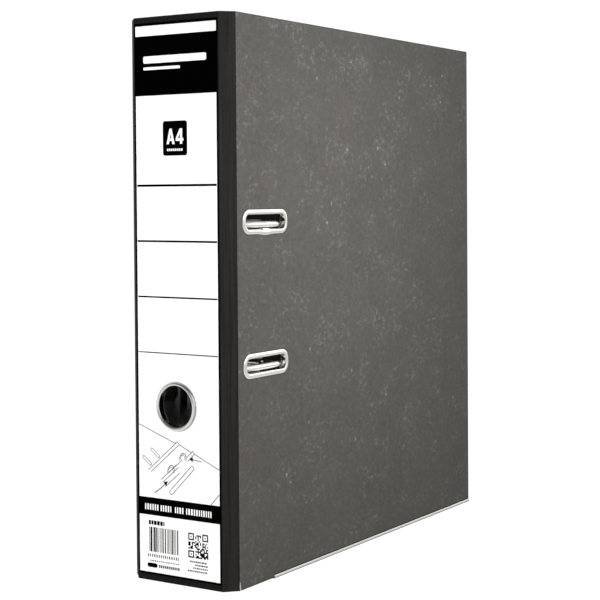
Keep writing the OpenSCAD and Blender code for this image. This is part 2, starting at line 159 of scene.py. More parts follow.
def merge(verts, faces, tags=None, tolerance=1e-4):
    """Join points that coincide and drop the faces that collapse."""
    seen, merged, remap = {}, [], []
    for vert in verts:
        key = tuple(int(round(c / tolerance)) for c in vert)
        if key not in seen:
            seen[key] = len(merged)
            merged.append(tuple(vert))
        remap.append(seen[key])
    kept, kept_tags = [], []
    for n, face in enumerate(faces):
        loop = []
        for i in face:
            target = remap[int(i)]
            if not loop or loop[-1] != target:
                loop.append(target)
        if len(loop) > 1 and loop[0] == loop[-1]:
            loop.pop()
        if len(set(loop)) >= 3:
            kept.append(tuple(loop))
            kept_tags.append(tags[n] if tags is not None else 0)
    return np.array(merged), kept, kept_tags


def face_normal(verts, face):
    a, b, c = verts[list(face[:3])]
    return np.cross(b - a, c - a)


def wound_like(verts, faces, wanted, axis):
    """Reverse the faces if the first one points against wanted along an axis."""
    if face_normal(verts, faces[0])[axis] * wanted < 0:
        return [tuple(reversed(f)) for f in faces]
    return faces


def point_normals(verts, faces):
    normals = np.zeros_like(verts)
    for face in faces:
        corners = verts[list(face)]
        normal = np.zeros(3)
        for a, b in zip(corners, np.roll(corners, -1, axis=0)):
            normal += np.cross(a, b)
        for i in face:
            normals[i] += normal
    return normals / np.maximum(np.linalg.norm(normals, axis=1, keepdims=True), 1e-12)


def face_edges(faces):
    """Directed edges of all faces, in order."""
    return [edge for f in faces for edge in zip(f, tuple(f[1:]) + (f[0],))]


def shell(verts, faces, offset, tags=None, rim_tag=0):
    """Open surface to a closed sheet. offset is a vector for each vertex."""
    n = len(verts)
    sheet = [tuple(f) for f in faces] + [tuple(i + n for i in reversed(f)) for f in faces]
    sheet_tags = (list(tags) if tags is not None else [0] * len(faces)) + [rim_tag] * len(faces)
    directed = set(face_edges(faces))
    for a, b in sorted(directed):
        if (b, a) not in directed:
            sheet.append((b, a, a + n, b + n))
            sheet_tags.append(rim_tag)
    return np.vstack([verts, verts + offset]), sheet, sheet_tags


def mirrored(verts, side):
    return verts * np.array([side, 1, 1])


def inside(point, outline):
    x, y = point
    hit = False
    n = len(outline)
    for i in range(n):
        (x1, y1), (x2, y2) = outline[i], outline[(i + 1) % n]
        if (y1 > y) != (y2 > y) and x < (x2 - x1) * (y - y1) / (y2 - y1) + x1:
            hit = not hit
    return hit


def triangulate(loops, keep):
    """Flat triangles constrained to the loops, where keep(centroid) holds."""
    points, edges = [], []
    for loop in loops:
        start = len(points)
        points += [Vector((float(a), float(b))) for a, b in loop]
        edges += [(start + i, start + (i + 1) % len(loop)) for i in range(len(loop))]
    result = delaunay_2d_cdt(points, edges, [], 0, 1e-6)
    flat = np.array([(v.x, v.y) for v in result[0]])
    faces = [tuple(f) for f in result[2]]
    return flat, [f for f in faces if keep(flat[list(f)].mean(axis=0))]


def round_rect(centre_x, centre_y, width, height, radius, steps=8):
    points = []
    for sign_x, sign_y, start in CORNERS:
        for k in range(steps + 1):
            a = math.radians(start + 90 * k / steps)
            points.append((centre_x + sign_x * (width / 2 - radius) + radius * math.cos(a),
                           centre_y + sign_y * (height / 2 - radius) + radius * math.sin(a)))
    return points


def circle(centre_x, centre_y, radius, steps=96):
    return [(centre_x + radius * math.cos(2 * math.pi * k / steps),
             centre_y + radius * math.sin(2 * math.pi * k / steps)) for k in range(steps)]


def smooth_path(points, count):
    """Even points along a polyline after its corners are cut three times."""
    path = np.array(points, float)
    for _ in range(3):
        cut = [path[0]]
        for a, b in zip(path[:-1], path[1:]):
            cut += [a * 0.75 + b * 0.25, a * 0.25 + b * 0.75]
        cut.append(path[-1])
        path = np.array(cut)
    run = np.concatenate([[0], np.cumsum(np.linalg.norm(np.diff(path, axis=0), axis=1))])
    even = np.linspace(0, run[-1], count)
    return np.column_stack([np.interp(even, run, path[:, 0]), np.interp(even, run, path[:, 1])])


# ------------------------------------------------------------------ node helpers
# input A, input B and output of the Mix node for each kind of data
MIX_SOCKETS = {"FLOAT": (2, 3, 0), "VECTOR": (4, 5, 1), "RGBA": (6, 7, 2)}
FALL = (1, 0)      # ramp output that falls instead of rising


class Graph:
    """Short calls that add shader nodes. Values may be numbers, tuples or sockets."""

    def __init__(self, owner):
        owner.use_nodes = True
        self.tree = owner.node_tree

    def node(self, kind, **props):
        node = self.tree.nodes.new(kind)
        for key, value in props.items():
            setattr(node, key, value)
        return node

    def put(self, socket, value):
        if isinstance(value, bpy.types.NodeSocket):
            self.tree.links.new(value, socket)
        elif socket.type == "RGBA":
            socket.default_value = (*value, 1)
        else:
            socket.default_value = value

    def math(self, operation, a, b=0.0, c=None):
        node = self.node("ShaderNodeMath", operation=operation)
        self.put(node.inputs[0], a)
        self.put(node.inputs[1], b)
        if c is not None:
            self.put(node.inputs[2], c)
        return node.outputs[0]

    def add(self, a, b):
        return self.math("ADD", a, b)

    def sub(self, a, b):
        return self.math("SUBTRACT", a, b)

    def mul(self, a, b):
        return self.math("MULTIPLY", a, b)

    def least(self, a, b):
        return self.math("MINIMUM", a, b)

    def above(self, a, b):
        return self.math("GREATER_THAN", a, b)

    def below(self, a, b):
        return self.math("LESS_THAN", a, b)

    def mix(self, factor, a, b, kind="RGBA"):
        node = self.node("ShaderNodeMix", data_type=kind)
        input_a, input_b, output = MIX_SOCKETS[kind]
        self.put(node.inputs[0], factor)
        self.put(node.inputs[input_a], a)
        self.put(node.inputs[input_b], b)
        return node.outputs[output]

    def separate(self, vector):
        node = self.node("ShaderNodeSeparateXYZ")
        self.put(node.inputs[0], vector)
        return node.outputs

    def map_range(self, value, low, high):
        node = self.node("ShaderNodeMapRange")
        self.put(node.inputs["Value"], value)
        node.inputs["From Min"].default_value = low
        node.inputs["From Max"].default_value = high
        return node.outputs[0]

    def grey_ramp(self, value, stops):
        """stops holds (position, grey level)."""
        node = self.node("ShaderNodeValToRGB")
        elements = node.color_ramp.elements
        while len(elements) < len(stops):
            elements.new(0.5)
        for k, (position, level) in enumerate(stops):
            elements[k].position = position
            elements[k].color = (level, level, level, 1)
        self.put(node.inputs[0], value)
        return node.outputs[0]


class Material(Graph):
    SOCKETS = {
        "color": "Base Color", "rough": "Roughness", "metal": "Metallic",
        "spec": "Specular IOR Level", "normal": "Normal", "sheen": "Sheen Weight",
        "sheen_rough": "Sheen Roughness", "sss": "Subsurface Weight",
    }

    def __init__(self, name):
        self.material = bpy.data.materials.new(name)
        super().__init__(self.material)
        self.shader = self.tree.nodes["Principled BSDF"]
        self.coords = self.node("ShaderNodeTexCoord").outputs["Object"]

    def position(self):
        return self.separate(self.coords)

    def scaled(self, scale, rotation=(0, 0, 0)):
        node = self.node("ShaderNodeMapping")
        self.put(node.inputs["Vector"], self.coords)
        node.inputs["Scale"].default_value = scale
        node.inputs["Rotation"].default_value = rotation
        return node.outputs[0]

    def noise(self, scale, detail=4, rough=0.55, vec=None):
        node = self.node("ShaderNodeTexNoise")
        self.put(node.inputs["Vector"], self.coords if vec is None else vec)
        node.inputs["Scale"].default_value = scale
        node.inputs["Detail"].default_value = detail
        node.inputs["Roughness"].default_value = rough
        return node.outputs[0]

    def wave(self, scale, direction, distortion):
        node = self.node("ShaderNodeTexWave", wave_type="BANDS", bands_direction=direction)
        self.put(node.inputs["Vector"], self.coords)
        node.inputs["Scale"].default_value = scale
        node.inputs["Distortion"].default_value = distortion
        node.inputs["Detail"].default_value = 1.0
        return node.outputs["Fac"]

    def ramp(self, value, span, out=(0, 1)):
        """Go from out[0] to out[1] while value crosses span."""
        return self.grey_ramp(value, list(zip(span, out)))

    def paint(self, base, mask, colour, span=None, out=(0, 1), amount=None):
        """Lay colour over base where the mask is high. span first ramps the mask."""
        if span is not None:
            mask = self.ramp(mask, span, out)
        if amount is not None:
            mask = self.mul(mask, amount)
        return self.mix(mask, base, colour)

    def waver(self, value, noise, amount):
        """Shift value up and down with a noise."""
        return self.add(value, self.mul(self.sub(noise, 0.5), amount))

    def length(self, a, b):
        return self.math("SQRT", self.add(self.mul(a, a), self.mul(b, b)))

    def bump(self, height, strength, dist, under=None):
        node = self.node("ShaderNodeBump")
        node.inputs["Strength"].default_value = strength
        node.inputs["Distance"].default_value = dist
        self.put(node.inputs["Height"], height)
        if under is not None:
            self.put(node.inputs["Normal"], under)
        return node.outputs[0]

    def set(self, **values):
        for key, value in values.items():
            self.put(self.shader.inputs[self.SOCKETS[key]], value)
        return self.material


# ------------------------------------------------------------------ covering paper material
def paper_ground(m, wide):
    """Dark grey ground with mottle, tint, upright hatching and fine grain."""
    grain = m.noise(scale=1300, detail=3, rough=0.7)
    soft = m.noise(scale=42, detail=3, rough=0.5)
    tint = m.noise(scale=30, detail=3, vec=m.scaled((1, 1, 1), rotation=(0.6, 0.2, 1.1)))
    hatch = m.noise(scale=1.0, detail=2, rough=0.5, vec=m.scaled((1200, 1200, 240)))
    mottle = m.noise(scale=330, detail=3, rough=0.62, vec=wide)
    base = m.paint((0.105, 0.1005, 0.0915), soft, span=(0.34, 0.66), colour=(0.122, 0.117, 0.107))
    for mask, span, out, amount, colour in (
            (mottle, (0.42, 0.62), (0, 1), 0.30, (0.186, 0.179, 0.163)),
            (tint, (0.54, 0.60), (0, 1), 0.16, (0.146, 0.118, 0.112)),
            (hatch, (0.46, 0.70), (0, 1), 0.26, (0.165, 0.160, 0.150)),
            (grain, (0.40, 0.50), FALL, 0.28, (0.084, 0.081, 0.075))):
        base = m.paint(base, mask, span=span, out=out, amount=amount, colour=colour)
    return base


def paper_flecks(m, base, fleck, cloud):
    """Pale and dark flecks gathered in loose clusters."""
    bunch = m.ramp(cloud, span=(0.475, 0.63))
    base = m.paint(base, bunch, amount=0.06, colour=(0.24, 0.235, 0.222))
    gathered = m.add(m.mul(bunch, 0.75), 0.25)
    pale = m.mul(m.ramp(fleck, span=(0.53, 0.68)), gathered)
    base = m.paint(base, pale, amount=0.85, colour=(0.262, 0.255, 0.238))
    dark = m.mul(m.ramp(fleck, span=(0.30, 0.42), out=FALL), bunch)
    return m.paint(base, dark, amount=0.38, colour=(0.062, 0.060, 0.055))


def paper_dots(m, base, cloud):
    """Two sizes of pale dots with slightly ragged outlines."""
    ragged = m.node("ShaderNodeTexNoise")
    ragged.inputs["Scale"].default_value = 700
    m.put(ragged.inputs["Vector"], m.coords)
    bent = m.mix(0.0030, m.coords, ragged.outputs["Color"], kind="VECTOR")
    # cell scale, dot radius, strength, cloud level where the dots begin
    for scale, radius, amount, begin in ((95, 0.120, 0.62, 0.48), (190, 0.130, 0.40, 0.43)):
        cells = m.node("ShaderNodeTexVoronoi", feature="F1")
        m.put(cells.inputs["Vector"], bent)
        cells.inputs["Scale"].default_value = scale
        dot = m.ramp(cells.outputs["Distance"], span=(radius * 0.45, radius), out=FALL)
        pick = m.node("ShaderNodeSeparateColor")
        m.put(pick.inputs[0], cells.outputs["Color"])
        chosen = m.mul(m.above(pick.outputs[0], 0.55),
                       m.ramp(cloud, span=(begin, begin + 0.12), out=(0.25, 1)))
        base = m.paint(base, m.mul(dot, chosen), amount=amount, colour=(0.47, 0.465, 0.445))
    return base


def paper_wear(m, base, x, y, z):
    """Dark lines along the folds and the foot, a dark strip at the top of the guard, pale core at
    the worn places.
    """
    to_head = m.sub(HEAD_Z * MM, z)
    to_foot = m.sub(z, FOOT_Z * MM)
    to_fore = m.sub(FORE_Y * MM, y)
    to_hinge = m.sub(y, HINGE_Y * MM)
    edge = m.least(m.least(to_head, to_foot), to_fore)
    rub = m.noise(scale=260, rough=0.6)
    edge_mm = m.mul(edge, 1000)
    base = m.paint(base, edge_mm, span=(0.45, 0.95), out=FALL, amount=0.45,
                   colour=(0.045, 0.043, 0.040))
    foot_mm = m.mul(to_foot, 1000)
    base = m.paint(base, foot_mm, span=(0.50, 1.0), out=FALL, amount=0.75,
                   colour=(0.022, 0.021, 0.019))
    above_guard = m.mul(m.above(y, (GUARD_LOW[1] + 0.2) * MM),
                        m.below(m.waver(z, rub, amount=0.0004), 0.0026))
    base = m.paint(base, above_guard, amount=0.85, colour=(0.016, 0.015, 0.014))
    worn = m.mul(m.below(edge, 0.0007), m.ramp(rub, span=(0.60, 0.66)))
    base = m.paint(base, worn, amount=0.5, colour=(0.36, 0.35, 0.33))

    # rubbed corners beside the spine, at the head and at the foot of the outer face
    head_tip = m.add(m.mul(m.least(to_head, 1.0), 1.0), m.mul(to_hinge, 0.9))
    head_tip = m.waver(head_tip, rub, amount=0.0016)
    outer = m.above(m.math("ABSOLUTE", x), (COVER_X - 0.3) * MM)
    head_on = m.mul(m.mul(m.below(head_tip, 0.0032), m.above(to_head, 0.0008)), outer)
    base = m.paint(base, head_on, amount=0.85, colour=(0.24, 0.238, 0.23))
    foot_tip = m.waver(m.add(m.mul(to_foot, 0.22), to_hinge), rub, amount=0.0008)
    foot_on = m.mul(m.below(foot_tip, 0.0011), outer)
    return m.paint(base, foot_on, amount=0.9, colour=(0.72, 0.71, 0.68))


def paper_eyelet_shade(m, base, x, y, z):
    """Painted contact shade: a dark line round both slot eyelets of the front cover."""
    straight_half_width = 0.0161
    end_radius_mm = 6
    line_starts = 0.0059
    for eyelet in EYELETS.values():
        half_height = float(eyelet.height / 2 - end_radius_mm) * MM
        beyond = [
            m.math("MAXIMUM", m.sub(m.math("ABSOLUTE", m.sub(axis, centre * MM)), half), 0.0)
            for axis, centre, half in ((y, eyelet.y, straight_half_width),
                                       (z, eyelet.z, half_height))
        ]
        away_mm = m.mul(m.sub(m.length(*beyond), line_starts), 1000)
        near = m.ramp(away_mm, span=(0.0, 0.85), out=FALL)
        # painted shade: darken the paper close round each eyelet
        base = m.paint(base, m.mul(near, m.above(x, 0.0)), amount=0.78,
                       colour=(0.02, 0.019, 0.017))
    return base


def marbled_paper():
    m = Material("marbled_paper")
    wide = m.scaled((1, 0.72, 1))
    fleck = m.noise(scale=480, detail=3, rough=0.62, vec=wide)
    cloud = m.noise(scale=62, detail=5, rough=0.62, vec=wide)
    base = paper_ground(m, wide)
    base = paper_flecks(m, base, fleck, cloud)
    base = paper_dots(m, base, cloud)
    x, y, z = m.position()
    base = paper_wear(m, base, x, y, z)
    base = paper_eyelet_shade(m, base, x, y, z)
    fine = m.bump(m.noise(scale=900, rough=0.6), strength=0.35, dist=0.00010)
    swell = m.bump(m.noise(scale=90, detail=2, rough=0.5), strength=0.20, dist=0.00030, under=fine)
    return m.set(color=base, rough=m.ramp(fleck, span=(0.3, 0.7), out=(0.62, 0.80)),
                 spec=0.22, normal=swell)


# ------------------------------------------------------------------ other sheet materials
def book_cloth():
    m = Material("book_cloth")
    streak = m.noise(scale=1.0, rough=0.6, vec=m.scaled((900, 900, 22)))
    band = m.noise(scale=1.0, detail=3, rough=0.5, vec=m.scaled((260, 260, 14)))
    slub = m.noise(scale=1.0, detail=2, rough=0.5, vec=m.scaled((2600, 2600, 300)))
    lint = m.noise(scale=420, rough=0.7)
    warp_x = m.wave(scale=1050, direction="X", distortion=0.25)
    warp_y = m.wave(scale=1050, direction="Y", distortion=0.25)
    weft = m.wave(scale=900, direction="Z", distortion=0.5)
    # the warp runs across whichever way the surface faces
    normal_x, normal_y, _ = m.separate(m.node("ShaderNodeNewGeometry").outputs["Normal"])
    warp = m.mix(m.math("ABSOLUTE", normal_x), warp_x, warp_y, kind="FLOAT")
    base = m.paint((0.0135, 0.0130, 0.0122), streak, span=(0.34, 0.68),
                   colour=(0.0265, 0.0256, 0.0243))
    base = m.paint(base, band, span=(0.40, 0.66), amount=0.45, colour=(0.031, 0.030, 0.0285))
    base = m.paint(base, slub, span=(0.5, 0.75), amount=0.28, colour=(0.040, 0.0388, 0.037))
    base = m.paint(base, lint, span=(0.70, 0.78), amount=0.35, colour=(0.085, 0.083, 0.080))
    # painted shade: the cloth is darker where it faces along Y, as on the flat of the spine; it
    # follows the world-space normal, so it changes as the spine turns
    base = m.paint(base, m.math("ABSOLUTE", normal_y), span=(0.80, 0.97), amount=0.76,
                   colour=(0.0035, 0.0034, 0.0032))
    weave = m.add(m.mul(warp, 0.75), m.mul(weft, 0.35))
    threads = m.bump(weave, strength=0.55, dist=0.00007)
    normal = m.bump(streak, strength=0.35, dist=0.00012, under=threads)
    return m.set(color=base, rough=0.86, spec=0.10, sheen=0.04, sheen_rough=0.5, normal=normal)


def lining_paper():
    m = Material("lining_paper")
    fibre = m.noise(scale=1.0, rough=0.6, vec=m.scaled((1400, 500, 500)))
    spot = m.noise(scale=330, detail=5, rough=0.65)
    broad = m.noise(scale=20, detail=3, rough=0.5)
    base = m.paint((0.048, 0.048, 0.047), fibre, span=(0.32, 0.7), colour=(0.078, 0.077, 0.075))
    base = m.paint(base, spot, span=(0.60, 0.72), amount=0.35, colour=(0.095, 0.094, 0.090))
    base = m.paint(base, broad, span=(0.42, 0.62), amount=0.4, colour=(0.036, 0.036, 0.036))
    return m.set(color=base, rough=0.82, spec=0.15,
                 normal=m.bump(fibre, strength=0.4, dist=0.00008))


def grey_board():
    m = Material("grey_board")
    fibre = m.noise(scale=1.0, detail=5, rough=0.7, vec=m.scaled((700, 300, 300)))
    fleck = m.noise(scale=800, rough=0.7)
    base = m.paint((0.24, 0.22, 0.19), fibre, span=(0.3, 0.7), colour=(0.42, 0.39, 0.35))
    base = m.paint(base, fleck, span=(0.62, 0.70), amount=0.6, colour=(0.10, 0.09, 0.08))
    return m.set(color=base, rough=0.92, spec=0.1,
                 normal=m.bump(fleck, strength=0.6, dist=0.00015))


def label_paper():
    m = Material("label_paper")
    tooth = m.noise(scale=700, rough=0.6)
    haze = m.noise(scale=28, detail=3, rough=0.5)
    base = m.paint((0.90, 0.90, 0.89), haze, span=(0.35, 0.65), colour=(0.95, 0.95, 0.945))
    return m.set(color=base, rough=m.ramp(tooth, span=(0.3, 0.7), out=(0.42, 0.58)), spec=0.25,
                 normal=m.bump(tooth, strength=0.12, dist=0.00004))


def ink(name, dark, light):
    m = Material(name)
    grain = m.noise(scale=1300, rough=0.7)
    base = m.paint(dark, grain, span=(0.35, 0.75), colour=light)
    return m.set(color=base, rough=m.ramp(grain, span=(0.3, 0.7), out=(0.60, 0.76)), spec=0.0,
                 normal=m.bump(grain, strength=0.08, dist=0.00003))


# ------------------------------------------------------------------ metal and nylon
def nickel(name, tone, rough, brush_scale, wear, painted_shade_height=None):
    """Brushed metal with stains and pits. When a height is given, painted shade darkens the metal
    below it along the bottom.
    """
    m = Material(name)
    brush = m.noise(scale=1.0, rough=0.6, vec=m.scaled(brush_scale))
    stain = m.noise(scale=70, detail=5, rough=0.62)
    pit = m.noise(scale=900, detail=3, rough=0.7)
    base = m.paint(tone, stain, span=(0.48, 0.72), amount=wear, colour=(0.50, 0.47, 0.42))
    base = m.paint(base, pit, span=(0.68, 0.76), amount=wear * 1.4, colour=(0.22, 0.20, 0.18))
    if painted_shade_height is not None:
        # painted shade: dark band along the bottom, below the given height
        low = m.below(m.waver(m.position()[2], stain, amount=0.0004), painted_shade_height)
        base = m.paint(base, low, amount=0.85, colour=(0.10, 0.10, 0.095))
    brushed = m.add(m.mul(m.ramp(brush, span=(0.3, 0.7)), rough * 0.55), rough * 0.7)
    roughness = m.add(brushed, m.mul(m.ramp(stain, span=(0.5, 0.75)), 0.14))
    fine = m.bump(brush, strength=0.10, dist=0.00003)
    swell = m.bump(m.noise(scale=180, detail=2, rough=0.5), strength=0.12, dist=0.00012,
                   under=fine)
    return m.set(color=base, rough=roughness, metal=1.0, normal=swell)


def ring_metal():
    """Rolled nickel: painted shade as a dark line at the outer edge, and painted shade in the
    bore, which is near black and not metal.
    """
    m = Material("nickel_ring")
    x, y, z = m.position()
    radius_mm = m.mul(m.length(m.sub(x, RING_X * MM), m.sub(z, RING_Z * MM)), 1000)
    brush = m.noise(scale=900, rough=0.6)
    stain = m.noise(scale=90, rough=0.6)
    base = m.paint((0.84, 0.84, 0.81), stain, span=(0.45, 0.7), amount=0.2,
                   colour=(0.55, 0.54, 0.50))
    # painted shade: dark line along the outer edge of the ring
    painted_rim_shade = m.map_range(m.waver(radius_mm, stain, amount=0.5), low=RING_R - 0.65, high=RING_R - 0.2)
    base = m.paint(base, painted_rim_shade, amount=0.7, colour=(0.16, 0.16, 0.155))
    # painted shade in the bore behind the lip: near black and not metal
    deep = m.map_range(y, low=(SPINE_Y - 1.05) * MM, high=(SPINE_Y - 0.75) * MM)
    painted_bore_shade = m.mul(deep, m.below(radius_mm, 12.4))
    base = m.paint(base, painted_bore_shade, colour=(0.006, 0.006, 0.006))
    roughness = m.add(m.mul(m.ramp(brush, span=(0.3, 0.7)), 0.08), 0.13)
    return m.set(color=base, rough=roughness, metal=m.sub(1.0, painted_bore_shade), spec=0.12,
                 normal=m.bump(brush, strength=0.10, dist=0.00003))


def nylon():
    m = Material("nylon")
    mottle = m.noise(scale=240, detail=3, rough=0.5)
    base = m.paint((0.66, 0.64, 0.58), mottle, span=(0.35, 0.65), colour=(0.80, 0.78, 0.72))
    turning = m.wave(scale=1500, direction="Y", distortion=0.2)
    return m.set(color=base, rough=0.42, spec=0.4, sss=0.05,
                 normal=m.bump(turning, strength=0.25, dist=0.00003))


PAPER = marbled_paper()
CLOTH = book_cloth()
LINING = lining_paper()
BOARD = grey_board()
LABEL = label_paper()
INK = ink("ink_black", dark=(0.0003, 0.0003, 0.0003), light=(0.0012, 0.0012, 0.0011))
INK_GREY = ink("ink_grey", dark=(0.055, 0.055, 0.055), light=(0.11, 0.11, 0.11))
BRIGHT = nickel("nickel_bright", tone=(0.86, 0.85, 0.81), rough=0.13,
                brush_scale=(800, 800, 800), wear=0.16)
WIRE = nickel("nickel_wire", tone=(0.84, 0.82, 0.78), rough=0.12,
              brush_scale=(120, 1200, 1200), wear=0.22)
GUARD = nickel("nickel_guard", tone=(0.84, 0.84, 0.80), rough=0.22,
               brush_scale=(1200, 80, 1200), wear=0.30, painted_shade_height=0.00075)
SATIN = nickel("nickel_satin", tone=(0.66, 0.67, 0.68), rough=0.30,
               brush_scale=(1200, 1200, 100), wear=0.28)
SPRING = nickel("spring_steel", tone=(0.48, 0.49, 0.50), rough=0.24,
                brush_scale=(1200, 1200, 1200), wear=0.30)
NYLON = nylon()
RING_METAL = ring_metal()


# ------------------------------------------------------------------ covers
FOLD_R = 0.55          # bend of the paper over the board edges
CORNER_R = 1.0         # corners at the fore-edge
SLOT_MARGIN = 4.8      # how much smaller a slot hole is than its eyelet
RIVET_HOLE_R = 2.05
RIVET_RISE = 74        # above and below the middle of the mechanism
RIVET_COLUMNS = (15, 56)   # back from the spine face


def fold_profile():
    """(inset from the edge, depth below the outer face), from the turn-in to the outer face."""
    profile = [(TURN_IN, BOARD_T), (TURN_IN * 0.7, BOARD_T), (TURN_IN * 0.35, BOARD_T),
               (3.0, BOARD_T), (FOLD_R + 0.12, BOARD_T)]
    profile += [(FOLD_R * (1 - math.sin(a)), BOARD_T - FOLD_R * (1 - math.cos(a)))
                for a in QUARTER]
    profile += [(FOLD_R * (1 - math.cos(a)), FOLD_R * (1 - math.sin(a))) for a in QUARTER]
    return profile + [(FOLD_R + 0.12, 0.0), (3.0, 0.0), (8.0, 0.0)]


def cover_outline(inset):
    """(y, z) along foot, fore-edge and head, open at the spine side."""
    radius = max(CORNER_R - inset, 0.04)
    fore = FORE_Y - inset - radius
    low = FOOT_Z + inset + radius
    high = HEAD_Z - inset - radius
    side_height = HEAD_Z - FOOT_Z - 2 * inset - 2 * radius
    shares = np.linspace(0, 1, 24)[1:-1]

    def corner(z, start):
        angles = [math.radians(start + 90 * k / 6) for k in range(7)]
        return [(fore + radius * math.cos(a), z + radius * math.sin(a)) for a in angles]

    path = [(HINGE_Y, FOOT_Z + inset)]
    path += [(HINGE_Y + t * (fore - HINGE_Y), FOOT_Z + inset) for t in shares]
    path += corner(low, -90)
    path += [(FORE_Y - inset, low + t * side_height) for t in shares]
    path += corner(high, 0)
    path += [(fore + t * (HINGE_Y - fore), HEAD_Z - inset) for t in shares]
    return path + [(HINGE_Y, HEAD_Z - inset)]


def cover_paper(cover, side, holes):
    """Covering paper with rounded folds and turn-ins on three edges."""
    rows = [[(COVER_X - depth, y, z) for y, z in cover_outline(inset)]
            for inset, depth in fold_profile()]
    folded = np.array(rows)
    verts, faces = grid(folded)
    border = [(p[1], p[2]) for p in folded[-1]]
    flat, panel = triangulate(
        [border] + holes,
        lambda q: inside(q, border) and not any(inside(q, hole) for hole in holes))
    panel = [tuple(i + len(verts) for i in f) for f in panel]
    verts = np.vstack([verts, np.column_stack([np.full(len(flat), COVER_X), flat])])
    panel = wound_like(verts, panel, wanted=face_normal(verts, faces[-1])[0], axis=0)
    verts, faces, _ = merge(verts, faces + panel)
    normals = point_normals(verts, faces)
    if np.mean([n[0] for v, n in zip(verts, normals) if abs(v[0] - COVER_X) < 1e-6]) < 0:
        normals = -normals
    verts, faces, _ = shell(verts, faces, -normals * (SKIN - 0.01))
    ob = build(cover + "_cover_skin", mirrored(verts, side), faces, [PAPER])
    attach(ob, cover + "_cover")
    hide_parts(cover + "_cover_paper")


COVER_HOLES = {
    "front": [round_rect(e.y, e.z, e.width - SLOT_MARGIN, e.height - SLOT_MARGIN, radius=3.6)
              for e in EYELETS.values()],
    "back": [circle(SPINE_Y + back, MECH_Z + sign * RIVET_RISE, RIVET_HOLE_R, steps=32)
             for back in RIVET_COLUMNS for sign in (-1, 1)],
}
for cover, side in SIDES:
    cover_paper(cover, side, COVER_HOLES[cover])


# ------------------------------------------------------------------ spine cloth and joints
CLOTH_FOLD_R = 0.6
FLAT_HALF = SPINE_HALF - 1.4    # where the cloth starts to leave the flat spine

# (x, distance back from the spine face) through the joint, outside and inside
OUTER_JOINT = [
    (FLAT_HALF, 0.0), (SPINE_HALF - 0.1, 0.0), (SPINE_HALF + 0.55, 0.42),
    (SPINE_HALF + 2.6, 2.75), (SPINE_HALF + 4.4, 4.75), (COVER_X - 0.75, 6.2),
    (COVER_X - 0.27, JOINT_DEPTH)]
INNER_JOINT = [
    (FLAT_HALF, BOARD_T), (SPINE_HALF - 0.4, BOARD_T), (SPINE_HALF + 0.8, BOARD_T + 0.9),
    (SPINE_HALF + 3.4, BOARD_T + 3.5), (COVER_X - BOARD_T + 0.05, JOINT_DEPTH)]
LINING_JOINT = [
    (SPINE_HALF, BOARD_T - 0.02), (SPINE_HALF + 0.9, BOARD_T + 0.75),
    (SPINE_HALF + 2.2, BOARD_T + 2.2), (SPINE_HALF + 3.5, BOARD_T + 3.55),
    (COVER_X - BOARD_T + 0.02, JOINT_DEPTH)]


def bend(ob, side):
    """Bake the object's transform into its mesh; both sides are treated alike."""
    if side > 0:
        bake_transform(ob)
    else:
        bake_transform(ob)


def cloth_curve(depth, joint):
    """From the middle of the spine to the cover, seen from above."""
    flat = [(x, depth) for x in np.linspace(0, FLAT_HALF, 10)]
    return np.array(flat + [tuple(p) for p in smooth_path(joint, 34)[1:]])


def cloth_columns():
    """(share of the way from the outer to the inner curve, z) from foot to head."""
    r = CLOTH_FOLD_R
    fold = [(1.0, TURN_IN), (1.0, TURN_IN * 0.66), (1.0, TURN_IN * 0.33), (1.0, r + 0.15)]
    fold += [(1.0 - r * (1 - math.cos(a)) / BOARD_T, r * (1 - math.sin(a))) for a in QUARTER]
    fold += [(r * (1 - math.sin(a)) / BOARD_T, r * (1 - math.cos(a))) for a in QUARTER]
    fold.append((0.0, r + 0.15))
    columns = [(share, FOOT_Z + z) for share, z in fold]
    columns += [(0.0, z) for z in np.linspace(FOOT_Z + 6, HEAD_Z - 6, 60)]
    return columns + [(share, HEAD_Z - z) for share, z in reversed(fold)]


def cut_finger_hole(verts, faces, side):
    """Drop the cells round the finger hole and fill up to a true circle."""
    kept, cells = [], []
    for face in faces:
        x, y, z = verts[list(face)].mean(axis=0)
        near = abs(y - SPINE_Y) < 1e-6 and x < 15.5 and abs(z - RING_Z) < 17.5
        (cells if near else kept).append(face)
    edges = dict.fromkeys(face_edges(cells))
    border = {a: b for a, b in edges if (b, a) not in edges}
    start = next(iter(border))
    loop = [start]
    while border[loop[-1]] != start:
        loop.append(border[loop[-1]])
    outer = [(verts[i][0], verts[i][2]) for i in loop]

    radius = RING_R - RING_NOMINAL_R + LABEL_HOLE_R
    centre = side * RING_X
    reach = math.acos(-centre / radius)
    arc = [(centre + radius * math.cos(a), RING_Z + radius * math.sin(a))
           for a in np.linspace(-reach, reach, 49)]
    arc[0] = (0.0, arc[0][1])
    arc[-1] = (0.0, arc[-1][1])
    hole = arc + [(-1.0, arc[-1][1]), (-1.0, arc[0][1])]
    flat, fill = triangulate(
        [outer, arc], lambda q: inside(q, outer) and not inside(q, hole) and q[0] > 1e-6)
    fill = [tuple(i + len(verts) for i in f) for f in fill]
    wanted = face_normal(verts, cells[0])[1]
    added = np.column_stack([flat[:, 0], np.full(len(flat), SPINE_Y), flat[:, 1]])
    verts = np.vstack([verts, added])
    verts, faces, _ = merge(verts, kept + wound_like(verts, fill, wanted, axis=1))
    used = sorted(set(i for f in faces for i in f))
    renumber = {old: new for new, old in enumerate(used)}
    return verts[used], [tuple(renumber[i] for i in f) for f in faces]


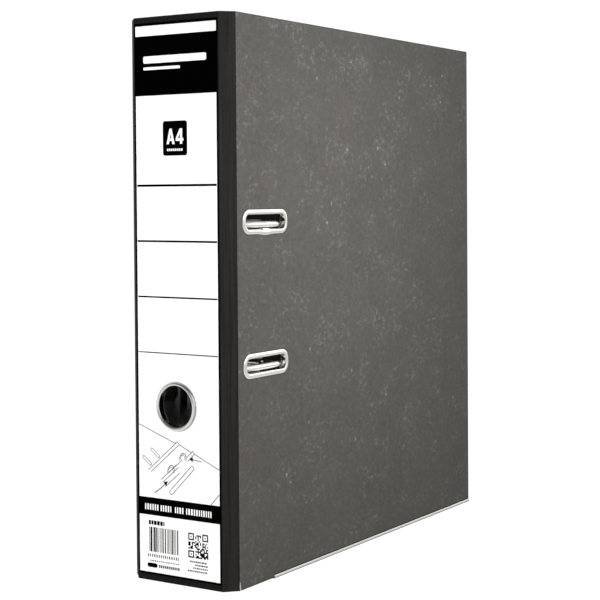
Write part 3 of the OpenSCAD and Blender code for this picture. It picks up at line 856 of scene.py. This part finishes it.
def cloth_side(cover, side):
    """Half of the cloth: flat on the spine from its middle, then through the joint to one
    cover. It turns in at head and foot. Two halves meet in one plane under the label."""
    outer = cloth_curve(0.0, OUTER_JOINT)
    inner = cloth_curve(BOARD_T, INNER_JOINT)
    columns = cloth_columns()
    points = np.zeros((len(outer), len(columns), 3))
    for i in range(len(outer)):
        for j, (share, z) in enumerate(columns):
            x, back = outer[i] * (1 - share) + inner[i] * share
            points[i, j] = (x, SPINE_Y + back, z)
    verts, faces = cut_finger_hole(*grid(points), side)
    normals = point_normals(verts, faces)
    spine_face = [n[1] for v, n in zip(verts, normals)
                  if abs(v[1] - SPINE_Y) < 1e-6 and 1 < v[0] < SPINE_HALF - 3 and 20 < v[2] < 300]
    if np.mean(spine_face) > 0:
        normals = -normals
    verts, faces, _ = shell(verts, faces, -normals * SKIN)
    ob = build("spine_cloth_" + cover + "_half", mirrored(verts, side), faces, [CLOTH], sharp=50)
    bend(ob, side)
    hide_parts("spine_cloth", cover + "_joint_cloth")


def joint_lining(cover, side):
    node = cover + "_joint_lining"
    low, high = box_mm(node)
    heights = np.linspace(low[2], high[2], 50)
    verts, faces = grid(np.array([[(x, SPINE_Y + back, z) for z in heights]
                                  for x, back in smooth_path(LINING_JOINT, 22)]))
    normals = point_normals(verts, faces)
    if np.mean(normals[:, 0]) > 0:
        normals = -normals
    verts, faces, _ = shell(verts, faces, -normals * 0.2)
    ob = build(node + "_sheet", mirrored(verts, side), faces, [LINING], sharp=50)
    bend(ob, side)
    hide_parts(node)


for cover, side in SIDES:
    cloth_side(cover, side)
for cover, side in SIDES:
    joint_lining(cover, side)


# ------------------------------------------------------------------ print on the label
# Flat shapes in (x, z). A later shape covers an earlier one.
WHITE, BLACK, GREY = 0, 1, 2
LABEL_HALF = LABEL_HIGH[0]
PRINT_HALF = LABEL_HALF - 0.9      # half width inside the black border
LABEL_FOOT = LABEL_LOW[2]
LABEL_TOP = LABEL_HIGH[2]
rng = random.Random(11)
shapes = []                        # (outline, tone)


def rect(x0, z0, x1, z1):
    return [(x0, z0), (x1, z0), (x1, z1), (x0, z1)]


def add(tone, outline):
    shapes.append((outline, tone))


def add_stroke(tone, points, width, close=False):
    """One oblong for each stretch of a line, with square ends."""
    points = list(points)
    if close:
        points.append(points[0])
    for (ax, az), (bx, bz) in zip(points[:-1], points[1:]):
        length = math.hypot(bx - ax, bz - az)
        dx, dz = (bx - ax) / length * width / 2, (bz - az) / length * width / 2
        add(tone, [(ax - dx - dz, az - dz + dx), (ax - dx + dz, az - dz - dx),
                   (bx + dx + dz, bz + dz - dx), (bx + dx - dz, bz + dz + dx)])


def add_dashes(tone, across, rise, widths, gap):
    """A line of dashes of random width that stands for lettering."""
    x, end = across
    while x < end - widths[0] * 0.6:
        width = min(rng.uniform(*widths), end - x)
        add(tone, rect(x, rise[0], x + width, rise[1]))
        x += width + gap


def turned(points, x, z, degrees):
    """Points turned about the origin, then moved to (x, z)."""
    a = math.radians(degrees)
    return [(x + p * math.cos(a) - q * math.sin(a), z + p * math.sin(a) + q * math.cos(a))
            for p, q in points]


def print_fields():
    """Border, black bands with white bars and dashes, and ruled lines."""
    add(BLACK, rect(-LABEL_HALF, LABEL_FOOT, LABEL_HALF, LABEL_TOP))
    add(WHITE, rect(-PRINT_HALF, LABEL_FOOT + 1.25, PRINT_HALF, LABEL_TOP - 1.6))
    for low, high in ((273.8, 307.3), (37.7, 47.7)):
        add(BLACK, rect(-PRINT_HALF - 0.02, low, PRINT_HALF + 0.02, high))
    add(WHITE, round_rect(-0.6, 293.9, 44.0, 4.0, 1.0, steps=4))
    add(WHITE, round_rect(-9.6, 289.0, 26.0, 1.6, 0.6, steps=3))
    for across in ((-24.2, -14.6), (-13.0, -4.4), (-2.9, 3.2), (5.0, 23.4)):
        add_dashes(WHITE, across, rise=(40.6, 44.0), widths=(0.75, 1.15), gap=0.75)
    # height, line width, tone
    for z, width, tone in ((223.5, 1.3, BLACK), (192.3, 1.1, BLACK), (161.0, 0.92, BLACK),
                           (129.7, 0.72, GREY)):
        add(tone, rect(-PRINT_HALF + 0.3, z - width / 2, PRINT_HALF - 0.3, z + width / 2))


def print_size_box():
    """Black box with the paper size, its two characters cut out in white."""
    add(BLACK, round_rect(-0.6, 249.65, 17.0, 19.3, 1.5, steps=5))
    add(WHITE, [(-6.5, 246.4), (-4.4, 255.0), (-2.9, 255.0), (-0.8, 246.4), (-2.45, 246.4),
                (-2.9, 248.2), (-4.4, 248.2), (-4.85, 246.4)])
    add(WHITE, [(2.9, 246.4), (4.5, 246.4), (4.5, 248.1), (5.3, 248.1), (5.3, 249.6),
                (4.5, 249.6), (4.5, 255.0), (2.8, 255.0), (-0.1, 249.6), (-0.1, 248.1),
                (2.9, 248.1)])
    add(BLACK, [(-4.1, 249.6), (-3.2, 249.6), (-3.65, 252.2)])
    add(BLACK, [(1.45, 249.6), (2.9, 249.6), (2.9, 252.4)])
    add_dashes(WHITE, (-6.2, 4.8), rise=(242.6, 243.9), widths=(0.7, 1.3), gap=0.4)


DRAWING_LINES = (
    [(-PRINT_HALF + 0.4, 88.6), (-2.0, 79.6)],
    [(-2.0, 79.6), (-1.0, 80.6), (0.4, 79.3)],
    [(0.4, 79.3), (9.0, 75.4)],
    [(9.0, 75.4), (10.0, 76.3), (11.2, 74.8)],
    [(11.2, 74.8), (PRINT_HALF - 0.4, 67.6)],
    [(-2.0, 79.6), (-21.4, 63.2)],
    [(0.2, 78.9), (-19.4, 62.4)],
    [(9.0, 75.4), (5.8, 72.6)],
    [(11.2, 74.8), (6.4, 70.4)],
    [(PRINT_HALF - 0.4, 53.6), (22.4, 47.9)],
    [(-12.2, 58.6), (-1.6, 67.6)],
    [(-10.8, 57.4), (-0.4, 66.2)],
    [(-6.6, 63.2), (2.6, 70.9)],
    [(-9.6, 54.6), (0.6, 63.2)],
)


def print_drawing():
    """Line drawing of an open file, with two arrows."""
    for line in DRAWING_LINES:
        add_stroke(GREY, line, width=0.46)
    pill = round_rect(0, 0, 7.4, 1.5, 0.7, steps=3)
    for x, z in ((-16.6, 73.2), (-22.4, 68.4)):
        add_stroke(GREY, turned(pill, x, z, -37), width=0.40, close=True)
    for x, z in ((3.0, 71.4), (-5.4, 63.9)):
        arch = [(x + 2.3 * math.cos(a) + 0.5 * math.sin(a), z + 3.2 * math.sin(a))
                for a in np.linspace(-0.25, math.pi + 0.25, 11)]
        add_stroke(GREY, arch, width=0.50)
        inner = [(x + 1.5 * math.cos(a), z + 2.3 * math.sin(a))
                 for a in np.linspace(-0.1, math.pi + 0.1, 9)]
        add_stroke(GREY, inner, width=0.36)
    bar = round_rect(0, 0, 23.0, 2.4, 1.0, steps=3)
    add_stroke(GREY, turned(bar, 2.1, 59.3, 45), width=0.44, close=True)
    add_stroke(BLACK, [(-17.0, 50.6), (-13.0, 53.4), (-9.6, 56.2)], width=0.55)
    add(BLACK, [(-7.6, 58.0), (-10.9, 57.2), (-9.0, 54.9)])
    add(BLACK, [(7.6, 71.6), (10.0, 73.0), (10.0, 70.2)])
    add_stroke(BLACK, [(10.0, 71.6), (15.8, 71.0)], width=0.45)


def print_bar_block():
    """Upright bars with dashes above and below, at the left of the foot."""
    add_dashes(BLACK, (-21.6, -10.4), rise=(32.3, 34.7), widths=(1.2, 1.9), gap=0.38)
    x = -21.3
    while x < -1.0:
        width = rng.choice([0.35, 0.35, 0.5, 0.8, 1.25])
        add(BLACK, rect(x, 17.0, min(x + width, -0.4), 31.0))
        x += width + rng.choice([0.35, 0.35, 0.5, 0.8])
    add_dashes(GREY, (-22.4, -0.2), rise=(14.0, 15.7), widths=(0.6, 0.9), gap=0.75)
    add_dashes(GREY, (-20.8, 0.6), rise=(11.6, 12.2), widths=(0.7, 1.5), gap=0.4)
    add(BLACK, round_rect(-19.2, 9.3, 7.2, 2.5, 1.2, steps=5))
    add_dashes(GREY, (-14.6, 0.8), rise=(8.4, 10.0), widths=(0.8, 1.3), gap=0.35)


def print_square_block():
    """Field of random squares with three corner marks, and dashes under it."""
    count, mark = 17, 5
    left, foot, cell = 6.3, 17.0, 13.8 / 17
    dark = [[rng.random() < 0.58 for _ in range(count)] for _ in range(count)]
    far = count - mark
    for row in range(count):
        for column in range(count):
            for mark_row, mark_column in ((0, 0), (far, 0), (far, far)):
                a, b = row - mark_row, column - mark_column
                if 0 <= a < mark and 0 <= b < mark:
                    on_rim = a in (0, mark - 1) or b in (0, mark - 1)
                    dark[row][column] = on_rim or (a == 2 and b == 2)
                elif -1 <= a <= mark and -1 <= b <= mark:
                    dark[row][column] = False
    # one oblong for each run of dark squares
    for row in range(count):
        column = 0
        while column < count:
            if dark[row][column]:
                end = column
                while end < count and dark[row][end]:
                    end += 1
                add(BLACK, rect(left + column * cell, foot + row * cell,
                                left + end * cell, foot + (row + 1) * cell))
                column = end
            column += 1
    for k, across in enumerate(((7.4, 19.6), (11.0, 19.6), (9.6, 19.6), (5.8, 19.8))):
        add_dashes(BLACK if k < 2 else GREY, across, rise=(14.4 - k * 1.75, 15.3 - k * 1.75),
                   widths=(0.7, 1.6), gap=0.35)


def tone_at(point, boxes):
    """Tone of the last shape that covers a point. boxes holds (low, high) of each shape."""
    tone = BLACK
    for (outline, shape_tone), (low, high) in zip(shapes, boxes):
        in_box = low[0] <= point[0] <= high[0] and low[1] <= point[1] <= high[1]
        if in_box and inside(point, outline):
            tone = shape_tone
    return tone


def label():
    hole = circle(RING_X, RING_Z, LABEL_HOLE_R)
    border = shapes[0][0]
    flat, faces = triangulate([outline for outline, _ in shapes] + [hole],
                              lambda q: not inside(q, hole) and inside(q, border))
    boxes = [(tuple(map(min, zip(*outline))), tuple(map(max, zip(*outline))))
             for outline, _ in shapes]
    tags = [tone_at(flat[list(f)].mean(axis=0), boxes) for f in faces]
    front_y = LABEL_LOW[1]
    verts = np.column_stack([flat[:, 0], np.full(len(flat), front_y), flat[:, 1]])
    verts, faces, tags = merge(verts, faces, tags, tolerance=1e-5)
    faces = [f if face_normal(verts, f)[1] < 0 else tuple(reversed(f)) for f in faces]
    offset = np.tile([0, LABEL_HIGH[1] - front_y - 0.01, 0], (len(verts), 1))
    verts, faces, tags = shell(verts, faces, offset, tags, rim_tag=BLACK)
    ob = build("spine_label_printed", verts, faces, [LABEL, INK, INK_GREY], tags, smooth=False)
    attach(ob, "spine")
    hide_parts("spine_label")


print_fields()
print_size_box()
print_drawing()
print_bar_block()
print_square_block()
label()


# ------------------------------------------------------------------ finger ring
def finger_ring():
    """Closed (radius, y) profile turned about an axis along Y."""
    bore = 11.5
    back = RING_HIGH[1]
    profile = [(bore, back - 0.25)]
    # bore and rolled lip in front of the spine, from the bore and the spine face
    profile += [(bore + r, SPINE_Y + y) for r, y in (
        (0, 2.0), (0, 0.3), (0, -0.55), (0.06, -0.95), (0.22, -1.32), (0.48, -1.62),
        (0.82, -1.80), (1.15, -1.84), (1.5, -1.74), (1.85, -1.46), (2.12, -1.10),
        (2.33, -0.72))]
    # outer edge, from the ring radius and the spine face
    profile += [(RING_R + r, SPINE_Y + y) for r, y in (
        (-0.02, -0.42), (0, -0.28), (-0.06, -0.17), (-0.3, -0.15))]
    # under the lip and along the outside of the tube
    profile += [(bore + r, SPINE_Y + y) for r, y in ((0.9, -0.15), (0.5, -0.1), (0.45, 0.6))]
    # rolled back end, from the bore and the back face
    profile += [(bore + r, back + y) for r, y in (
        (0.45, -0.5), (0.75, -0.38), (1.3, -0.34), (1.5, -0.2), (1.3, 0), (0.5, 0),
        (0.12, -0.1))]
    segments = 128
    angles = np.linspace(0, 2 * math.pi, segments, endpoint=False)
    rows = [np.stack([RING_X + r * np.cos(angles), np.full(segments, y),
                      RING_Z + r * np.sin(angles)], axis=1) for r, y in profile]
    verts, faces = grid(np.array(rows), close_rows=True, close_columns=True)
    ob = build("finger_ring_rolled", verts, faces, [RING_METAL], sharp=60)
    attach(ob, "spine")
    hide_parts("finger_ring_outer")


finger_ring()


# ------------------------------------------------------------------ slot eyelets
def eyelet_path(eyelet):
    """(y, z, outward y, outward z) round the slot."""
    half_width = (eyelet.width - 5.6) / 2
    half_height = (eyelet.height - 5.6) / 2
    radius = 3.2
    path = []
    for sign_y, sign_z, start in CORNERS:
        for k in range(15):
            a = math.radians(start + 90 * k / 14)
            path.append((eyelet.y + sign_y * (half_width - radius) + radius * math.cos(a),
                         eyelet.z + sign_z * (half_height - radius) + radius * math.sin(a),
                         math.cos(a), math.sin(a)))
        # even points along the straight side that follows this corner
        if start in (0, 180):
            reach = sign_y * (half_width - radius)
            path += [(eyelet.y + y, eyelet.z + sign_z * half_height, 0.0, float(sign_z))
                     for y in np.linspace(reach, -reach, 26)[1:-1]]
        else:
            reach = sign_z * (half_height - radius)
            path += [(eyelet.y + sign_y * half_width, eyelet.z + z, float(sign_y), 0.0)
                     for z in np.linspace(reach, -reach, 5)[1:-1]]
    return path


def slot_eyelet(name, dented):
    """Pressed eyelet. A dented one is pushed in at the middle of its lower side."""
    eyelet = EYELETS[name]
    top = eyelet.rise
    # (distance out from the slot, height above the cover face)
    profile = [
        (0.0, -BOARD_T - 0.55), (0.0, -1.2), (0.0, -0.1), (0.04, 0.22), (0.16, 0.44),
        (0.38, 0.60), (0.72, top - 0.03), (1.15, top), (1.6, top - 0.03), (2.05, top - 0.14),
        (2.42, top - 0.30), (2.66, 0.26), (2.78, 0.12), (2.8, 0.02), (2.6, 0.0), (1.2, 0.0),
        (0.37, 0.0), (0.35, -0.3), (0.35, -BOARD_T - 0.35), (0.55, -BOARD_T - 0.45),
        (0.5, -BOARD_T - 0.68), (0.15, -BOARD_T - 0.70)]
    path = eyelet_path(eyelet)
    rows = []
    for out, height in profile:
        row = []
        for y, z, out_y, out_z in path:
            push = 0.0
            if dented and out_z < -0.9:
                along = (y - (eyelet.y + 0.6)) / 5.0
                if height > 0.1:
                    push = -0.6 * math.exp(-along * along)
                elif out < 0.01 and height > -1.3:
                    push = 0.45 * math.exp(-along * along)
            row.append((COVER_X + height, y + out_y * out, z + out_z * out + push))
        rows.append(row)
    verts, faces = grid(np.array(rows), close_rows=True, close_columns=True)
    ob = build("slot_eyelet_" + name + "_pressed", verts, faces, [BRIGHT], sharp=60)
    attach(ob, "front_cover")
    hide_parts("slot_eyelet_" + name)


slot_eyelet("upper", dented=True)
slot_eyelet("lower", dented=False)


# ------------------------------------------------------------------ edge protectors
GUARD_T = 0.4
GUARD_BEND_R = 0.55
GUARD_OUTER_HEIGHT = 2.0
GUARD_INNER_HEIGHT = GUARD_HIGH[2]


def guard_section():
    """Closed (x, z) section of the channel under the front cover."""
    def arc(x, z, radius, start, end, steps=5):
        angles = [math.radians(start + (end - start) * k / steps) for k in range(steps + 1)]
        return [(x + radius * math.cos(a), z + radius * math.sin(a)) for a in angles]

    outer, inner = GUARD_HIGH[0], GUARD_LOW[0]
    lip = GUARD_T / 2
    bend_r = GUARD_BEND_R
    section = arc(outer - lip, GUARD_OUTER_HEIGHT - lip, lip, 180, 0, steps=6)
    section += arc(outer - bend_r, bend_r, bend_r, 0, -90)
    section += [(COVER_X - 0.8, 0.0), (COVER_X - 1.9, 0.0)]
    section += arc(inner + bend_r, bend_r, bend_r, -90, -180)
    section += arc(inner + lip, GUARD_INNER_HEIGHT - lip, lip, 180, 0, steps=6)
    section.append((inner + GUARD_T, 0.9))
    section += arc(inner + bend_r, bend_r, 0.15, 180, 270, steps=3)
    section.append((COVER_X - 1.3, GUARD_T))
    return section + arc(outer - bend_r, bend_r, 0.15, -90, 0, steps=3)


def guard(cover, side):
    """Metal channel along the foot of a cover, with a slightly wavy outer lip."""
    near, far = GUARD_LOW[1], GUARD_HIGH[1]
    stations = [near, near + 0.08, near + 0.3] + list(np.linspace(near + 2, far - 2, 60))
    stations += [far - 0.3, far - 0.08, far]
    # how far the upper edges drop at the end stations
    last = len(stations) - 1
    end_drops = {0: 0.10, 1: 0.03, last - 1: 0.03, last: 0.10}
    rows = []
    for i, y in enumerate(stations):
        wobble = 0.03 * math.sin(y * 0.21) + 0.02 * math.sin(y * 0.77 + 1.3)
        row = []
        for x, z in guard_section():
            wavy = 0.8 < z <= GUARD_INNER_HEIGHT - 0.5
            shift = wobble - abs(wobble) * 0.4 if wavy else 0.0
            drop = end_drops.get(i, 0.0) if z > 1.2 else 0
            row.append((x, y, max(z + shift - drop, 0.0)))
        rows.append(row)
    verts, faces = grid(np.array(rows), close_columns=True)

    # end caps
    n = len(rows[0])
    outline = [(float(v[0]), float(v[2])) for v in verts[:n]]
    flat, triangles = triangulate([outline], lambda q: inside(q, outline))
    lookup = {(round(p[0], 4), round(p[1], 4)): i for i, p in enumerate(outline)}
    caps = []
    for face in triangles:
        ids = [lookup.get((round(flat[i][0], 4), round(flat[i][1], 4))) for i in face]
        # the triangulation is single precision, so a point may round to no section point
        if None not in ids:
            caps.append(ids)
    faces += [tuple(f) for f in caps]
    faces += [tuple(i + last * n for i in reversed(f)) for f in caps]
    node = cover + "_edge_protector"
    ob = build(node + "_channel", mirrored(verts, side), faces, [GUARD], sharp=50)
    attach(ob, cover + "_cover")
    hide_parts(node)


for cover, side in SIDES:
    guard(cover, side)


# ------------------------------------------------------------------ arch spring
def spring_path():
    """(height off the back cover, distance back from the spine, z from MECH_Z) of the wire."""
    coil_r = SPRING_COIL_R
    points = [(1.7, SPRING_BACK - 0.6, SPRING_FOOT), (1.72, SPRING_BACK - 1.8, SPRING_FOOT),
              (2.1, SPRING_BACK - 2.55, SPRING_FOOT), (2.9, SPRING_BACK - coil_r, SPRING_FOOT)]
    step, pitch, axis_height = 7.5, 1.25, 8.5
    swept = 135 + 1440             # degrees
    for i in range(int(swept / step) + 1):
        a = math.radians(180 - i * step)
        points.append((axis_height + coil_r * math.sin(a), SPRING_BACK + coil_r * math.cos(a),
                       SPRING_FOOT + i * pitch * step / 360))
    points += [(2.6, SPRING_BACK + 9.86, SPRING_TOP), (2.15, SPRING_BACK + 10.2, -23.3),
               (1.95, SPRING_BACK + 10.3, -22.6), (1.95, SPRING_BACK + 10.3, -13.5)]
    return np.array([(BACK_INNER_X + h, SPINE_Y + back, MECH_Z + z) for h, back, z in points])


def arch_spring():
    path = spring_path()
    sides = 14
    tangent = np.gradient(path, axis=0)
    tangent /= np.linalg.norm(tangent, axis=1, keepdims=True)
    across = np.cross(tangent, np.array([0.31, 0.2, 0.93]))
    across /= np.linalg.norm(across, axis=1, keepdims=True)
    upright = np.cross(tangent, across)
    last = len(path) - 1
    rows = []
    for i in range(len(path)):
        taper = 0.8 if i in (0, last) else 1.0
        rows.append([path[i] + SPRING_WIRE_R * taper * (
            math.cos(2 * math.pi * j / sides) * across[i]
            + math.sin(2 * math.pi * j / sides) * upright[i]) for j in range(sides)])
    verts, faces = grid(np.array(rows), close_columns=True)
    faces += [tuple(range(sides)), tuple(reversed(range(last * sides, (last + 1) * sides)))]
    ob = build("arch_spring_coil", verts, faces, [SPRING], sharp=50)
    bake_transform(ob)
    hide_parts("arch_spring")


SPRING_WIRE_R = 0.45
SPRING_COIL_R = 2.0 + 0.35 + SPRING_WIRE_R   # arch wire, clearance, spring wire
SPRING_BACK = 14.2                           # coil axis, back from the spine face
SPRING_FOOT = -29.2                          # both heights are from MECH_Z
SPRING_TOP = -23.7
arch_spring()


# ------------------------------------------------------------------ pieces kept from the CAD
# node: material and width of the rounded edges, if any
FINISHES = {
    "back_board": (BOARD, 0.12),
    "spine_board": (BOARD, 0.12),
    "front_board": (BOARD, 0.12),
    "back_lining": (LINING, None),
    "front_lining": (LINING, None),
    "spine_lining": (LINING, None),
    "base_plate": (SATIN, 0.22),
    "mechanism_rivets": (BRIGHT, 0.2),
    "lever_pivot_rivets": (BRIGHT, 0.25),
    "filing_post_upper": (BRIGHT, 0.25),
    "filing_post_lower": (BRIGHT, 0.25),
    "finger_ring_inner": (SATIN, 0.12),
    "slot_backplate_upper": (SATIN, 0.12),
    "slot_backplate_lower": (SATIN, 0.12),
    "arch_wire": (WIRE, None),
    "lever_arm": (SATIN, 0.25),
    "roller_pin": (BRIGHT, 0.2),
    "lever_roller": (NYLON, 0.25),
    "compressor_bar": (SATIN, 0.22),
}


def finish_node(node, material, edge_width):
    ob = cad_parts[node]
    if not ob.material_slots:
        ob.data.materials.append(material)
    for slot in ob.material_slots:
        slot.link = "OBJECT"
        slot.material = material
    weld = ob.modifiers.new("weld", "WELD")
    weld.merge_threshold = 0.000002
    if edge_width is not None:
        bevel = ob.modifiers.new("bevel", "BEVEL")
        bevel.width = edge_width * MM
        bevel.segments = 2
        bevel.limit_method = "ANGLE"
        bevel.angle_limit = math.radians(42)
        bevel.harden_normals = True


for node, (material, edge_width) in FINISHES.items():
    finish_node(node, material, edge_width)


# ------------------------------------------------------------------ studio
def studio_floor(half=12):
    """Grey to the lights, but close to white to the camera and pale in reflections."""
    m = Material("studio_floor")
    pale = m.paint((0.17, 0.17, 0.17), m.noise(scale=3, detail=3, rough=0.5), span=(0.3, 0.7),
                   colour=(0.20, 0.20, 0.20))
    m.set(color=pale, rough=0.9, spec=0.0)
    rays = m.node("ShaderNodeLightPath").outputs
    m.put(m.shader.inputs["Emission Color"], (1, 1, 1))
    glow = m.add(m.mul(rays["Is Camera Ray"], 0.95), m.mul(rays["Is Glossy Ray"], 0.55))
    m.put(m.shader.inputs["Emission Strength"], glow)

    mesh = bpy.data.meshes.new("studio_floor")
    corners = [(-half, -half, 0), (half, -half, 0), (half, half, 0), (-half, half, 0)]
    mesh.from_pydata(corners, [], [(0, 1, 2, 3)])
    mesh.materials.append(m.material)
    ob = bpy.data.objects.new("studio_floor", mesh)
    bpy.context.scene.collection.objects.link(ob)


def studio_world():
    """Metal sees bright cards behind and to the right, and a darker room in front."""
    world = bpy.data.worlds.new("studio")
    bpy.context.scene.world = world
    g = Graph(world)
    background = g.tree.nodes["Background"]
    rays = g.node("ShaderNodeLightPath").outputs
    x, y, z = g.separate(g.node("ShaderNodeTexCoord").outputs["Generated"])
    # brightness from the front to the back right
    bearing = g.map_range(g.math("MULTIPLY_ADD", x, 0.45, y), low=-1.45, high=1.45)
    along = g.grey_ramp(bearing, stops=[
        (0.0, 0.14), (0.20, 0.16), (0.30, 0.32), (0.43, 0.44), (0.62, 0.80), (0.88, 1.0)])
    # brightness from just below the horizon to overhead
    up = g.grey_ramp(g.map_range(z, low=-0.2, high=1), stops=[
        (0.0, 0.30), (0.15, 0.62), (0.21, 0.95), (0.62, 1.0), (0.80, 0.35), (1.0, 0.12)])
    reflected = g.mul(g.mul(along, up), 1.65)
    diffuse_level, camera_level = 0.16, 1.05
    strength = g.mix(rays["Is Glossy Ray"], diffuse_level, reflected, kind="FLOAT")
    strength = g.mix(rays["Is Camera Ray"], strength, camera_level, kind="FLOAT")
    g.put(background.inputs["Strength"], strength)
    g.put(background.inputs["Color"], (1, 1, 1))


def add_light(name, kind, energy):
    """Light that shows in no reflection."""
    light = bpy.data.lights.new(name, kind)
    light.energy = energy
    ob = bpy.data.objects.new(name, light)
    bpy.context.scene.collection.objects.link(ob)
    ob.visible_glossy = False
    return ob


def area_light(name, at, look, size, energy, size_y=None):
    ob = add_light(name, "AREA", energy)
    ob.data.size = size
    if size_y:
        ob.data.shape = "RECTANGLE"
        ob.data.size_y = size_y
    ob.location = at
    ob.rotation_euler = (Vector(look) - Vector(at)).to_track_quat("-Z", "Y").to_euler()
    ob.visible_camera = False


def studio_lights():
    area_light("front_light", at=(-0.35, -1.5, 0.45), look=(0, -0.14, 0.16), size=0.9,
               energy=26, size_y=1.1)
    area_light("cover_light", at=(0.31, -0.07, 0.25), look=(0.03, -0.05, 0.23), size=0.20,
               energy=0.72)
    area_light("top_light", at=(0.0, 0.2, 1.9), look=(0, 0, 0.1), size=1.6, energy=14)
    sky = add_light("sky_light", "SUN", energy=1.5)
    sky.data.angle = math.radians(25)


def studio_camera():
    """Looks from the front right at the spine and the front cover."""
    scene = bpy.context.scene
    scene.view_settings.view_transform = "Standard"
    scene.view_settings.look = "None"
    scene.view_settings.exposure = 0.0
    scene.view_settings.gamma = 1.0
    camera = bpy.data.cameras.new("camera")
    camera.sensor_width = 36.0
    camera.lens = 88.10244
    camera.shift_x = -0.0508
    camera.shift_y = -0.12007
    camera.clip_start = 0.01
    camera.clip_end = 50
    ob = bpy.data.objects.new("camera", camera)
    scene.collection.objects.link(ob)
    place = Vector((0.5048109, -0.7877996, 0.2170837))
    turn = Matrix((
        (0.84758347, -0.00616064, 0.53062643),
        (0.53062352, 0.02189527, -0.84732478),
        (-0.00639814, 0.99974129, 0.02182705),
    ))
    ob.matrix_world = Matrix.Translation(place) @ turn.to_4x4()
    scene.camera = ob


studio_floor()
studio_world()
studio_lights()
studio_camera()
